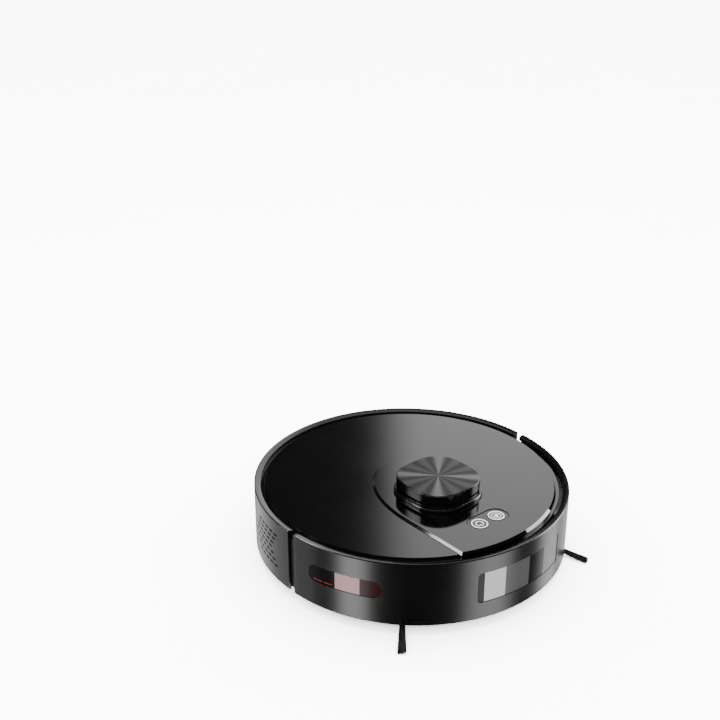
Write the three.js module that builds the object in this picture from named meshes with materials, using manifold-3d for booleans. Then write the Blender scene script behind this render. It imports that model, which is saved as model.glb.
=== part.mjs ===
// Round robot vacuum with a laser turret, a floating front bumper and a rear dust bin.
// Millimetres, +X forward, +Y to the robot's left, +Z up, origin on the floor under the middle.
import * as THREE from 'three';
import { mergeVertices } from 'three/addons/utils/BufferGeometryUtils.js';
import Module from 'manifold-3d';

const wasm = await Module();
wasm.setup();

// ---- Driving dimensions -------------------------------------------------------------------
const gap = 0.3;                 // air between two neighbouring pieces
const shellRadius = 172.5;       // outside of the round body
const shellX = -2.5;             // middle of the rear half
const bumperTravel = 5;          // how far the bumper gives
const bumperX = shellX + bumperTravel;
const wall = 2.6;                // side wall thickness
const wallLow = 11;              // underside of the side wall and of the base plate
const plateTop = 14;
const rimTop = 83;
const rimWidth = 7;
const rimInnerZ = 81;            // the rim's top slopes down to this at its inner edge
const shellSides = 48;           // flats round the big turned shells
const rearEdgeX = 3;             // rear shell ends here
const bumperEdgeX = 11.5;        // bumper starts here
const deckTop = 80.5;
const deckFlatRadius = 158;
const troughZ = 77;              // groove between the deck and the raised rim
const deckThickness = 2.5;
const deckRadius = shellRadius - rimWidth - gap;

const turretX = 43.6;
const capHalf = 41;
const capLow = 91.5;
const capTop = 102.5;
const skirtHalf = 43.5;
const skirtTop = 87;
const skirtFlare = 2;
const squarish = 2.8;            // exponent of the rounded-square turret outline

const insertHalfWidth = 63.5;    // raised panel on the deck
const insertFrontRadius = 160.5;
const insertChamfer = 2.5;
const insertTailX = -38;
const insertShoulderX = 62;

const buttonX = 118.7;
const buttonY = 12.3;
const buttonRadius = 9.2;

const wheelX = -2.5;
const wheelY = 118;
const wheelRadius = 35;
const wheelWidth = 22;
const pivotX = 38;
const pivotZ = 40;

const casterX = 125;
const casterTrail = 4;
const casterRadius = 11.5;

const rollerX = -45;
const rollerZ = 22;
const rollerRadius = 19.5;
const rollerHalf = 80;
const guardBarY = 27;

const sideBrushX = 100;
const sideBrushY = 101;
const sideBrushReach = 64;

const binFrontX = -78;
const binHalf = 75;
const binLow = 16.3;
const binTop = 66;
const binWall = 2.5;

const fanX = -84;
const fanY = -115;
const fanRadius = 25.5;

// ---- Small tools --------------------------------------------------------------------------
const rad = THREE.MathUtils.degToRad;
const robot = new THREE.Group();

// A closed geometry as a solid that can be joined and cut.
function solid(geometry) {
  const bare = geometry.clone();
  bare.deleteAttribute('normal');
  bare.deleteAttribute('uv');
  const merged = mergeVertices(bare, 1e-4);
  const index = merged.index.array;
  const kept = [];
  for (let i = 0; i < index.length; i += 3) {
    const [a, b, c] = [index[i], index[i + 1], index[i + 2]];
    if (a !== b && b !== c && a !== c) kept.push(a, b, c);
  }
  const vertProperties = new Float32Array(merged.attributes.position.array);
  const mesh = new wasm.Mesh({ numProp: 3, vertProperties, triVerts: new Uint32Array(kept) });
  mesh.merge();
  return new wasm.Manifold(mesh);
}

function geometryOf(body) {
  const mesh = body.getMesh();
  const geometry = new THREE.BufferGeometry();
  geometry.setAttribute('position', new THREE.BufferAttribute(new Float32Array(mesh.vertProperties), 3));
  geometry.setIndex(Array.from(mesh.triVerts));
  return geometry;
}

function add(name, body, color, roughness, metalness = 0) {
  const material = new THREE.MeshStandardMaterial({ color, roughness, metalness });
  const mesh = new THREE.Mesh(geometryOf(body), material);
  mesh.name = name;
  robot.add(mesh);
}

function box(x, y, z) {
  const geometry = new THREE.BoxGeometry(Math.abs(x[1] - x[0]), Math.abs(y[1] - y[0]), Math.abs(z[1] - z[0]));
  geometry.translate((x[0] + x[1]) / 2, (y[0] + y[1]) / 2, (z[0] + z[1]) / 2);
  return solid(geometry);
}

// A round body about a vertical axis; the profile runs counter-clockwise as [radius, height].
function turned(profile, segments = 48) {
  const points = profile.map(([r, z]) => new THREE.Vector2(r, z));
  const geometry = new THREE.LatheGeometry(points, segments);
  geometry.rotateX(Math.PI / 2);
  return solid(geometry);
}

function ring(inner, outer, low, high, segments = 48) {
  return turned([[inner, low], [outer, low], [outer, high], [inner, high], [inner, low]], segments);
}

function disc(radius, low, high, segments = 24) {
  return turned([[0, low], [radius, low], [radius, high], [0, high]], segments);
}

// The same, about an axis along Y.
function turnedAcross(profile, segments = 24) {
  return turned(profile, segments).rotate([-90, 0, 0]);
}

function rodAcross(radius, from, to, segments = 12) {
  return turnedAcross([[0, from], [radius, from], [radius, to], [0, to]], segments);
}

function extruded(shape, low, high, curveSegments = 12) {
  const geometry = new THREE.ExtrudeGeometry(shape, { depth: high - low, bevelEnabled: false, curveSegments });
  geometry.translate(0, 0, low);
  return solid(geometry);
}

function roundedRectangle(halfX, halfY, radius) {
  const shape = new THREE.Shape();
  shape.absarc(halfX - radius, halfY - radius, radius, 0, Math.PI / 2);
  shape.absarc(-halfX + radius, halfY - radius, radius, Math.PI / 2, Math.PI);
  shape.absarc(-halfX + radius, -halfY + radius, radius, Math.PI, 1.5 * Math.PI);
  shape.absarc(halfX - radius, -halfY + radius, radius, 1.5 * Math.PI, 2 * Math.PI);
  shape.closePath();
  return shape;
}

// The turret's rounded-square outline.
function squircle(half, count = 28) {
  const points = [];
  for (let i = 0; i < count; i += 1) {
    const angle = (2 * Math.PI * i) / count;
    const [c, s] = [Math.cos(angle), Math.sin(angle)];
    const reach = half / (Math.abs(c) ** squarish + Math.abs(s) ** squarish) ** (1 / squarish);
    points.push(new THREE.Vector2(reach * c, reach * s));
  }
  return new THREE.Shape(points);
}

// Everything within an angle of a direction, as a cutter about the vertical axis.
function wedge(middle, halfAngle, low, high, reach = 220) {
  const shape = new THREE.Shape();
  shape.moveTo(0, 0);
  for (const step of [-1, -0.5, 0, 0.5, 1]) {
    const angle = rad(middle + step * halfAngle);
    shape.lineTo(reach * Math.cos(angle), reach * Math.sin(angle));
  }
  shape.closePath();
  return extruded(shape, low, high);
}

const coilSteps = 7;             // straight pieces in one turn of a spring

function coil(radius, wire, length, turns) {
  const steps = turns * coilSteps;
  const points = [];
  for (let i = 0; i <= steps; i += 1) {
    const angle = (2 * Math.PI * i) / coilSteps;
    points.push(new THREE.Vector3(radius * Math.cos(angle), radius * Math.sin(angle), (length * i) / steps));
  }
  const section = new THREE.Shape();
  section.absarc(0, 0, wire, 0, 2 * Math.PI);
  const extrudePath = new THREE.CatmullRomCurve3(points);
  return solid(new THREE.ExtrudeGeometry(section, { steps, extrudePath, curveSegments: 2, bevelEnabled: false }));
}

// ---- Base and shells ----------------------------------------------------------------------
function wheelWell(side, grow, low, high, armHigh) {
  const tyreBay = box([-46.5 - grow, 50.5 + grow], [side * (105 - grow), side * (133 + grow)], [low, high]);
  const armBay = box([-12 - grow, 50.5 + grow], [side * (88 - grow), side * (106 + grow)], [low, armHigh]);
  return tyreBay.add(armBay);
}

function rollerBay(grow, low, high) {
  return box([-70 - grow, -20 + grow], [-84 - grow, 84 + grow], [low, high]);
}

function chassis() {
  const rearLimit = box([-200, rearEdgeX - gap], [-200, 200], [0, 100]);
  const frontRadius = 163;
  const rearRadius = shellRadius - wall - 0.4;
  const profile = (radius) => [[0, wallLow], [radius - 2, wallLow], [radius, wallLow + 2], [radius, plateTop], [0, plateTop]];
  let body = turned(profile(frontRadius)).add(turned(profile(rearRadius)).intersect(rearLimit));
  const frontWall = ring(158.5, 161, plateTop - 1, 72).intersect(box([5, 200], [-200, 200], [0, 100]));
  const gapBacking = ring(165.8, 168.2, plateTop - 1, 70.9);
  const gapZone = box([-12, 25], [-200, 200], [0, 100]);
  body = body.add(frontWall).add(gapBacking.intersect(gapZone));
  const frontTrim = box([rearEdgeX - gap, 40], [-200, 200], [0, plateTop]).intersect(ring(163, 200, 0, plateTop));
  body = body.subtract(frontTrim).translate([shellX, 0, 0]);
  for (const side of [1, -1]) {
    body = body.subtract(wheelWell(side, 0, 0, 30, 30));
    body = body.subtract(disc(5, 0, 30, 12).translate([sideBrushX, side * sideBrushY, 0]));
  }
  body = body.subtract(rollerBay(0, 0, 30));
  body = body.subtract(disc(18.5, 0, 30).translate([casterX, 0, 0]));
  body = body.subtract(box([51.7, 100.3], [-73.3, 73.3], [0, 30]));
  for (const sensor of cliffSensors) body = body.subtract(cliffWindow(sensor, gap, 0, 30));
  return body;
}

const cliffSensors = [
  { name: 'cliff_sensor_front', x: 151, y: 0, halfX: 5, halfY: 9 },
  { name: 'cliff_sensor_left', x: 67, y: 128, halfX: 9, halfY: 5 },
  { name: 'cliff_sensor_right', x: 67, y: -128, halfX: 9, halfY: 5 },
];

function cliffWindow({ x, y, halfX, halfY }, grow, low, high) {
  return extruded(roundedRectangle(halfX + grow, halfY + grow, 2), low, high, 3).translate([x, y, 0]);
}

function ventSlots() {
  const rows = 7;
  const columns = 5;
  let slots = null;
  for (let row = 0; row < rows; row += 1) {
    const notch = 1.3 * (3 - Math.abs(row - 3));
    for (let column = 0; column < columns; column += 1) {
      const angle = -96.2 - notch - 3.2 * column;
      const z = 28.5 + 6.3 * row;
      const slot = box([160, 185], [-3.4, 3.4], [z - 1.2, z + 1.2]).rotate([0, 0, angle]);
      slots = slots ? slots.add(slot) : slot;
    }
  }
  return slots;
}

function contactPocket(side, grow, inner, outer) {
  const halfAngle = 3.2 + grow * 0.33;
  return ring(inner, outer, 68 - grow, 76 + grow, shellSides).intersect(wedge(side * 157.5, halfAngle, 0, 100));
}

function rearShell() {
  const outer = shellRadius;
  const rimInner = outer - rimWidth;
  const inner = outer - wall;
  const profile = [[inner, wallLow], [outer - 0.8, wallLow], [outer, wallLow + 1], [outer, rimTop - 0.8],
    [outer - 0.8, rimTop], [rimInner, rimInnerZ], [rimInner, 74.2], [163, 74.2], [163, 71.2], [inner, 71.2],
    [inner, wallLow]];
  let body = turned(profile, shellSides).subtract(ventSlots());
  for (const side of [1, -1]) body = body.subtract(contactPocket(side, gap, 170.1, 180));
  body = body.translate([shellX, 0, 0]);
  body = body.intersect(box([-200, rearEdgeX], [-200, 200], [0, 100]));
  return body.subtract(box([-200, -120], [-binHalf - gap, binHalf + gap], [binLow - gap, binTop + gap]));
}

function buttonHoles(radius, low, high) {
  const left = disc(radius, low, high, 20).translate([buttonX, buttonY, 0]);
  return left.add(disc(radius, low, high, 20).translate([buttonX, -buttonY, 0]));
}

function topDeck() {
  const low = deckTop - deckThickness;
  const lip = troughZ - deckThickness;
  const body = turned([[0, low], [156.5, low], [161, lip], [deckRadius, lip], [deckRadius, troughZ],
    [162, troughZ], [deckFlatRadius, deckTop], [0, deckTop]], shellSides).translate([shellX, 0, 0]);
  return body.subtract(disc(33, 60, 90).translate([turretX, 0, 0])).subtract(buttonHoles(10, 60, 90));
}

// Outline of the raised panel's flat top: straight sides, an arc at the front, a rounded tail.
function insertOutline() {
  const frontAngle = Math.asin(insertHalfWidth / insertFrontRadius);
  const shape = new THREE.Shape();
  shape.absarc(shellX, 0, insertFrontRadius, -frontAngle, frontAngle);
  const tail = insertShoulderX - insertTailX;
  shape.absellipse(insertShoulderX, 0, tail, insertHalfWidth, Math.PI / 2, 1.5 * Math.PI);
  shape.closePath();
  return shape;
}

function bevelled(shape, low, high, bevel, curveSegments, bevelSegments = 1) {
  const geometry = new THREE.ExtrudeGeometry(shape, {
    depth: high - low - 2 * bevel, bevelThickness: bevel, bevelSize: bevel, bevelSegments, curveSegments,
  });
  geometry.translate(0, 0, low + bevel);
  return solid(geometry);
}

function deckInsert() {
  let body = bevelled(insertOutline(), 60, rimTop, insertChamfer, 9);
  const under = turned([[0, 0], [220, 0], [220, troughZ + gap], [162 + gap, troughZ + gap],
    [deckFlatRadius + gap, deckTop + gap], [0, deckTop + gap]]).translate([shellX, 0, 0]);
  body = body.subtract(under);
  body = body.subtract(disc(33, 60, 90).translate([turretX, 0, 0]));
  return body.subtract(extruded(roundedRectangle(13.5, 26, 13.4), 60, 90, 4).translate([buttonX, 0, 0]));
}

function buttonBezel() {
  const plate = extruded(roundedRectangle(13.2, 25.7, 13.1), deckTop + gap, rimTop - 0.7, 4);
  return plate.translate([buttonX, 0, 0]).subtract(buttonHoles(buttonRadius + gap, 60, 90));
}

function button(side) {
  const top = rimTop - 0.1;
  const profile = [[0, 79], [buttonRadius - 1.5, 79], [buttonRadius, 80], [buttonRadius, top - 0.4],
    [buttonRadius - 0.4, top], [0, top]];
  return turned(profile, 20).translate([buttonX, side * buttonY, 0]);
}

// ---- Laser turret -------------------------------------------------------------------------
// A low skirt that flares out towards the deck.
function lidarBase() {
  const flared = bevelled(squircle(skirtHalf - skirtFlare), 70, skirtTop, skirtFlare, 12);
  const buried = box([-60, 60], [-60, 60], [60, rimTop + gap]);
  return flared.subtract(buried).subtract(disc(31.5, 60, 100)).translate([turretX, 0, 0]);
}

// A thin frame with four corner posts that carries the cap above the laser's slot.
function lidarGuard() {
  let frame = extruded(squircle(skirtHalf - skirtFlare - 1), skirtTop + gap, skirtTop + 1.5);
  frame = frame.subtract(disc(31.5, 60, 100));
  for (let quarter = 0; quarter < 4; quarter += 1) {
    const post = disc(3.4, skirtTop + 1, capLow - gap, 12).translate([40, 0, 0]);
    frame = frame.add(post.rotate([0, 0, 45 + 90 * quarter]));
  }
  return frame.translate([turretX, 0, 0]);
}

function lidarCap() {
  return bevelled(squircle(capHalf - 1), capLow, capTop, 1, 12).translate([turretX, 0, 0]);
}

function lidarRotor() {
  return turned([[0, 81], [6, 81], [6, 84], [29, 84], [29, 86], [25, 87], [25, 91], [0, 91]], 24)
    .translate([turretX, 0, 0]);
}

function lidarLens() {
  return ring(25 + gap, 26.5, 87.6, 90.8, 24).intersect(wedge(0, 55, 0, 100)).translate([turretX, 0, 0]);
}

// ---- Bumper -------------------------------------------------------------------------------
const windows = {
  front: { angle: 0, halfWidth: 59, low: 31, high: 65, corner: 4 },
  side: { angle: -66, halfWidth: 40.4, low: 40.5, high: 59.5, corner: 9.4 },
};

function windowCutter({ angle, halfWidth, low, high, corner }, grow) {
  const shape = roundedRectangle(halfWidth + grow, (high - low) / 2 + grow, corner);
  const block = extruded(shape, 120, 190, 3).rotate([90, 0, 90]);
  return block.translate([0, 0, (low + high) / 2]).rotate([0, 0, angle]);
}

function bumper() {
  const outer = shellRadius;
  const inner = outer - wall;
  const profile = [[166.5, wallLow], [outer - 0.8, wallLow], [outer, wallLow + 1], [outer, rimTop - 0.8],
    [outer - 0.8, rimTop], [outer - rimWidth, rimInnerZ], [outer - rimWidth, troughZ], [inner, 74],
    [inner, 13.5], [166.5, 13.5], [166.5, wallLow]];
  const body = turned(profile, shellSides).subtract(windowCutter(windows.front, gap));
  const open = body.subtract(windowCutter(windows.side, gap)).translate([bumperX, 0, 0]);
  return open.intersect(box([bumperEdgeX, 200], [-200, 200], [0, 100]));
}

function sensorWindow(place) {
  const pane = ring(shellRadius - wall + 0.2, shellRadius - 0.8, 0, 100, shellSides);
  return pane.intersect(windowCutter(place, 0)).translate([bumperX, 0, 0]);
}

function bumperSpring(side) {
  return coil(3.6, 0.45, 9.2, 5).rotate([0, 90, 0]).translate([143, side * 75, 48]);
}

// ---- Drive wheels -------------------------------------------------------------------------
function wheelHousing(side) {
  const outside = wheelWell(side, wall - 0.1, plateTop + gap, 75.5, 62);
  const hollow = wheelWell(side, 0, 0, 73, 59.5);
  const pivotHole = rodAcross(3 + gap, -140, 140, 16).translate([pivotX, 0, pivotZ]);
  return outside.subtract(hollow).subtract(pivotHole);
}

function wheelArm(side) {
  const near = side * 90;
  const far = side * 103.5;
  const link = (x, z, r) => rodAcross(r, Math.min(near, far), Math.max(near, far), 24).translate([x, 0, z]);
  let arm = link(wheelX, wheelRadius, 9).add(link(pivotX, pivotZ, 9));
  const gearCase = box([wheelX, pivotX], [near, far], [26, 49]);
  const pinEnds = [side * 85.8, side * 135.2];
  const pin = rodAcross(3, Math.min(...pinEnds), Math.max(...pinEnds), 16).translate([pivotX, 0, pivotZ]);
  arm = arm.add(gearCase).add(pin);
  return arm.subtract(rodAcross(3.9, -140, 140, 16).translate([wheelX, 0, wheelRadius]));
}

function wheelHub(side) {
  const profile = [[0, -27], [3.5, -27], [3.5, -9.5], [27.4, -9.5], [27.4, 9.5], [21, 9.5], [19, 6], [8, 6],
    [6, 9.5], [0, 9.5]];
  const hub = turnedAcross(profile, 20);
  const placed = side > 0 ? hub : hub.rotate([0, 0, 180]);
  return placed.translate([wheelX, side * wheelY, wheelRadius]);
}

function tyre(side) {
  const half = wheelWidth / 2;
  const r = wheelRadius;
  const profile = [[27.4 + gap, -half], [r - 3, -half], [r, -half + 3], [r, half - 3], [r - 3, half],
    [27.4 + gap, half], [27.4 + gap, -half]];
  return turnedAcross(profile, 32).translate([wheelX, side * wheelY, wheelRadius]);
}

function wheelSpring(side) {
  return coil(4, 0.5, 9.6, 4).translate([14, side * 96, 49.5]);
}

// ---- Caster -------------------------------------------------------------------------------
function casterSocket() {
  const profile = [[18.5, plateTop + gap], [20.5, plateTop + gap], [20.5, 31], [8, 31], [8, 42],
    [4 + gap, 42], [4 + gap, 28.5], [18.5, 28.5], [18.5, plateTop + gap]];
  return turned(profile, 20).translate([casterX, 0, 0]);
}

function casterFork() {
  let fork = turned([[0, 24.5], [15, 24.5], [16, 26], [16, 28], [4, 28], [4, 41.5], [0, 41.5]], 20);
  for (const side of [1, -1]) {
    const cheek = box([-casterTrail - 5, -casterTrail + 5], [side * 7.6, side * 10.4], [8, 25]);
    fork = fork.add(cheek);
  }
  const axleHole = rodAcross(1.8 + gap, -20, 20, 12).translate([-casterTrail, 0, casterRadius]);
  return fork.subtract(axleHole).translate([casterX, 0, 0]);
}

function casterWheel() {
  const r = casterRadius;
  const profile = [[0, -10.2], [1.8, -10.2], [1.8, -7], [r - 1.5, -7], [r, -5.5], [r, 5.5], [r - 1.5, 7],
    [1.8, 7], [1.8, 10.2], [0, 10.2]];
  return turnedAcross(profile, 20).translate([casterX - casterTrail, 0, casterRadius]);
}

// ---- Main brush ---------------------------------------------------------------------------
function brushHousing() {
  const body = rollerBay(wall - 0.1, plateTop + gap, 46).subtract(rollerBay(0, 0, 43.5));
  const mouth = box([-80, -60], [-34, 34], [22, 42]);
  const shaftHole = rodAcross(4.4, -100, 100, 16).translate([rollerX, 0, rollerZ]);
  return body.subtract(mouth).subtract(shaftHole);
}

function rollerCore() {
  const profile = [[0, -86], [4, -86], [4, -rollerHalf - 1.5], [8.5, -rollerHalf - 1.5],
    [8.5, rollerHalf + 1.5], [4, rollerHalf + 1.5], [4, 92], [0, 92]];
  return turnedAcross(profile, 24).translate([rollerX, 0, rollerZ]);
}

// Six rubber blades round a sleeve, with a groove where each guard bar crosses.
function rollerFins() {
  const grooveRadius = rollerZ - wallLow;
  let fins = ring(8.5 + gap, 10.5, -rollerHalf, rollerHalf, 24);
  for (let i = 0; i < 6; i += 1) {
    const blade = box([9.5, rollerRadius], [-1.3, 1.3], [-rollerHalf, rollerHalf]).rotate([0, 0, 60 * i]);
    fins = fins.add(blade);
  }
  for (const side of [1, -1]) {
    fins = fins.subtract(ring(grooveRadius, 30, side * guardBarY - 3, side * guardBarY + 3, 24));
  }
  return fins.rotate([-90, 0, 0]).translate([rollerX, 0, rollerZ]);
}

function brushGuard() {
  const low = 8;
  const high = wallLow - gap;
  let frame = extruded(roundedRectangle(30, 89, 6), low, high, 4).translate([rollerX, 0, 0]);
  frame = frame.subtract(extruded(roundedRectangle(17, 82, 3), 0, 30, 3).translate([rollerX, 0, 0]));
  for (const side of [1, -1]) {
    const bar = [side * (guardBarY - 1.5), side * (guardBarY + 1.5)];
    frame = frame.add(box([rollerX - 18, rollerX + 18], bar, [low, high]));
    frame = frame.add(box([-22.8, -20 - gap], [side * 55, side * 67], [low + 1, 19]));
  }
  return frame;
}

function brushMotor() {
  const gearbox = box([-66, -22], [87.2, 101.8], [15, 40]);
  const can = rodAcross(7, -22, 22, 24).rotate([0, 0, 90]).translate([-44, 94.5, 46]);
  const shaftHole = rodAcross(4.4, 60, 97, 16).translate([rollerX, 0, rollerZ]);
  return gearbox.add(can).subtract(shaftHole);
}

// ---- Side brushes -------------------------------------------------------------------------
function sideBrush(side, firstAngle) {
  let brush = turned([[0, 6.5], [7, 6.5], [9.5, 8], [9.5, 10.5], [3, 10.5], [3, 20], [0, 20]], 16);
  const hubEdge = 6;
  const slope = Math.atan2(6.5, sideBrushReach - hubEdge);
  for (let i = 0; i < 3; i += 1) {
    const arm = box([0, (sideBrushReach - hubEdge) / Math.cos(slope)], [-3.8, 3.8], [-1.3, 1.3])
      .rotate([0, THREE.MathUtils.radToDeg(slope), 0]).translate([hubEdge, 0, 8.9]);
    brush = brush.add(arm.rotate([0, 0, firstAngle + 120 * i]));
  }
  return brush.translate([sideBrushX, side * sideBrushY, 0]);
}

function sideBrushMotor(side) {
  const body = disc(14, plateTop + gap, 34, 20).add(disc(9, 33, 48, 16));
  return body.subtract(disc(3.4, 0, 21, 12)).translate([sideBrushX, side * sideBrushY, 0]);
}

// ---- Dust bin -----------------------------------------------------------------------------
function binBlock(grow, low, high, reach) {
  const block = box([-180, binFrontX + grow], [-binHalf - grow, binHalf + grow], [low, high]);
  return block.intersect(disc(reach, low - 1, high + 1, shellSides).translate([shellX, 0, 0]));
}

const dustPort = { angle: 180 - 15.5, half: 16, low: 24, high: 44.3 };

function dustbin() {
  let body = binBlock(0, binLow, 63.5, shellRadius);
  body = body.subtract(binBlock(-binWall, binLow + binWall, 80, shellRadius - 3));
  body = body.subtract(box([-85, -70], [-33, 33], [23, 43]));
  body = body.subtract(box([-135, -92], [-80, -60], [24, 56]));
  body = body.subtract(box([-180, -160], [-14, 14], [36, 50]));
  const { half, low, high, angle } = dustPort;
  const port = box([160, 180], [-half, half], [low, high]).rotate([0, 0, angle]).translate([shellX, 0, 0]);
  return body.subtract(port);
}

function dustPortFlap() {
  const { half, low, high, angle } = dustPort;
  const plate = box([168.6, 170.2], [-half + gap, half - gap], [low + gap, high - 0.8]);
  return plate.rotate([0, 0, angle]).translate([shellX, 0, 0]);
}

function binReleaseButton() {
  return box([-180, -167], [-13.7, 13.7], [36.3, 49.7])
    .intersect(disc(shellRadius - 0.2, 0, 100, shellSides).translate([shellX, 0, 0]));
}

// A pleated filter in a frame on the bin's right wall.
function binFilter() {
  const frame = box([-137, -90], [-72.2, -68.5], [21, 60]);
  let pleats = frame;
  for (let i = 0; i < 9; i += 1) {
    const x = -133 + 4.8 * i;
    pleats = pleats.add(box([x, x + 2.4], [-69, -64.5], [25, 55]));
  }
  return pleats;
}

// ---- Fan, power and control ---------------------------------------------------------------
function fanHousing() {
  const r = fanRadius;
  const profile = [[0, 16], [r, 16], [r, 58], [12, 58], [12, 55.5], [r - 2.3, 55.5], [r - 2.3, 18.5], [0, 18.5]];
  const body = turned(profile, 24);
  const outlet = box([0, 40], [-9, 9], [42, 53]).rotate([0, 0, -126]);
  const inlet = box([0, 40], [-8, 8], [30, 38]).rotate([0, 0, 90]);
  return body.subtract(outlet).subtract(inlet).translate([fanX, fanY, 0]);
}

function fanImpeller() {
  let wheel = turned([[0, 40], [22, 40], [22, 41.5], [6, 41.5], [6, 52], [0, 52]], 20);
  for (let i = 0; i < 7; i += 1) {
    const blade = box([5, 21], [-0.8, 0.8], [41, 51]).rotate([0, 0, (360 * i) / 7]);
    wheel = wheel.add(blade);
  }
  return wheel.translate([fanX, fanY, 0]);
}

function battery() {
  return extruded(roundedRectangle(21, 70, 6), plateTop + 0.5, 36.5, 4).translate([76, 0, 0]);
}

function mainBoard() {
  let board = box([50, 112], [-72, 72], [44, 45.6]);
  const chips = [[62, -50, 8, 3], [62, -12, 11, 2.5], [90, 34, 9, 3], [96, -40, 6, 6], [70, 48, 7, 5]];
  for (const [x, y, half, height] of chips) {
    board = board.add(box([x - half, x + half], [y - half, y + half], [45, 45.6 + height]));
  }
  return board;
}

function speaker() {
  return turned([[0, 15], [17, 15], [20, 18], [20, 21], [11, 29], [0, 29]], 20).translate([-85, 112, 0]);
}

// ---- Assembly -----------------------------------------------------------------------------
const black = 0x0b0b0c;
const darkGrey = 0x1c1d20;
const steel = 0x9a9ca0;
const gold = 0xc9a24a;

add('chassis', chassis(), black, 0.55);
add('rear_shell', rearShell(), black, 0.25);
add('top_deck', topDeck(), black, 0.12);
add('deck_insert', deckInsert(), black, 0.1);
add('button_bezel', buttonBezel(), darkGrey, 0.3);
add('button_power', button(-1), 0xd8d8da, 0.3);
add('button_home', button(1), 0xd8d8da, 0.3);
add('lidar_base', lidarBase(), black, 0.15);
add('lidar_guard', lidarGuard(), black, 0.12);
add('lidar_cap', lidarCap(), 0x2a2a2c, 0.3, 0.8);
add('lidar_rotor', lidarRotor(), black, 0.4);
add('lidar_lens', lidarLens(), 0x14080a, 0.05);
add('lidar_motor', disc(16, 60, 80.7, 32).translate([turretX, 0, 0]), steel, 0.4, 0.9);
add('bumper', bumper(), black, 0.25);
add('front_window', sensorWindow(windows.front), 0x303034, 0.05);
add('side_window', sensorWindow(windows.side), 0x30080c, 0.05);
add('battery', battery(), 0x244a8c, 0.5);
add('battery_door', extruded(roundedRectangle(24, 73, 3), wallLow, 13.7, 3).translate([76, 0, 0]), black, 0.55);
add('main_board', mainBoard(), 0x14532d, 0.6);
add('fan_housing', fanHousing(), darkGrey, 0.5);
add('fan_motor', disc(13, 18.8, 39.7, 32).translate([fanX, fanY, 0]), steel, 0.4, 0.9);
add('fan_impeller', fanImpeller(), 0x2e3034, 0.45);
add('brush_housing', brushHousing(), darkGrey, 0.6);
add('brush_motor', brushMotor(), 0x3a3c40, 0.5);
add('roller_core', rollerCore(), 0x2b2c30, 0.5);
add('roller_fins', rollerFins(), 0x3c3f45, 0.8);
add('brush_guard', brushGuard(), darkGrey, 0.5);
add('caster_socket', casterSocket(), black, 0.5);
add('caster_fork', casterFork(), 0x2a2b2e, 0.5);
add('caster_wheel', casterWheel(), 0xb9babd, 0.5);
add('speaker', speaker(), 0x2a2b2e, 0.6);
add('dustbin', dustbin(), darkGrey, 0.2);
add('bin_lid', binBlock(0, 63.8, binTop, shellRadius), darkGrey, 0.3);
add('bin_filter', binFilter(), 0xe6e4dc, 0.9);
add('bin_release_button', binReleaseButton(), 0x26272a, 0.35);
add('dust_flap', box([-82.4, -80.9], [-35.5, 35.5], [21, 45.2]), 0x232427, 0.8);
add('dust_port_flap', dustPortFlap(), 0x232427, 0.8);
for (const sensor of cliffSensors) add(sensor.name, cliffWindow(sensor, 0, wallLow + 0.3, 16), 0x16080a, 0.1);
for (const [side, end] of [[1, 'left'], [-1, 'right']]) {
  add(`charge_contact_${end}`, contactPocket(side, 0, 170.4, 172.8).translate([shellX, 0, 0]), gold, 0.25, 1);
  add(`bumper_spring_${end}`, bumperSpring(side), steel, 0.3, 1);
  add(`wheel_housing_${end}`, wheelHousing(side), darkGrey, 0.6);
  add(`wheel_arm_${end}`, wheelArm(side), 0x2a2b2e, 0.5);
  add(`wheel_hub_${end}`, wheelHub(side), 0x3a3c40, 0.45);
  add(`tyre_${end}`, tyre(side), 0x18191b, 0.85);
  add(`wheel_spring_${end}`, wheelSpring(side), steel, 0.3, 1);
  add(`side_brush_motor_${end}`, sideBrushMotor(side), 0x3a3c40, 0.5);
  add(`side_brush_${end}`, sideBrush(side, side > 0 ? 17 : -42.5), 0x1c1d20, 0.7);
}

export default robot;
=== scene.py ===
"""Fine meshes, finishes and a small studio for a round robot vacuum, laid out as a Blender add-on.

Shapes are modelled in millimetres with the bmesh operators and scaled to metres at the end.
Places come from the frame: +X is forward, +Y is the robot's left, +Z is up, and the floor is at zero.
"""
import math
import random

import bmesh
import bpy
from bpy.props import FloatProperty, FloatVectorProperty, IntProperty, PointerProperty
from mathutils import Matrix, Vector


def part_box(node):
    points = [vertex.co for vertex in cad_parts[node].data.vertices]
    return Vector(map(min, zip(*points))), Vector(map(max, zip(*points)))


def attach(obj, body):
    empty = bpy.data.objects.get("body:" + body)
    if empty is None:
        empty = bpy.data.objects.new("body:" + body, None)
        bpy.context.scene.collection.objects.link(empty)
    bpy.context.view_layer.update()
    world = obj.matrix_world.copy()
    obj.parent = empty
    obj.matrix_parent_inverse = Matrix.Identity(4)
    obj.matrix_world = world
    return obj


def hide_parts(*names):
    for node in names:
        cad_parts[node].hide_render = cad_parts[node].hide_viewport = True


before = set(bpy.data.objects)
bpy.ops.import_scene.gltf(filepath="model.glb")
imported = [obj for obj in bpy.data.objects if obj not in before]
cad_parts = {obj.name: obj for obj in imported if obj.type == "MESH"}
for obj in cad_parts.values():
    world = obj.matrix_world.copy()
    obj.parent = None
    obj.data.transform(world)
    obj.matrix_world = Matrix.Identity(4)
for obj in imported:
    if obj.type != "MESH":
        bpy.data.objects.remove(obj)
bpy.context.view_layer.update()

bl_info = {
    "name": "Robot Vacuum",
    "version": (1, 0, 0),
    "blender": (4, 5, 0),
    "location": "3D View > Sidebar > Robot Vacuum",
    "description": "Builds a round robot vacuum's shells, brushes, wheels and finishes round its frame",
    "category": "Object",
}

MM = 0.001
FULL_TURN = 2 * math.pi
SHARP = math.radians(35)
SIDES = ("left", "right")


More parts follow.
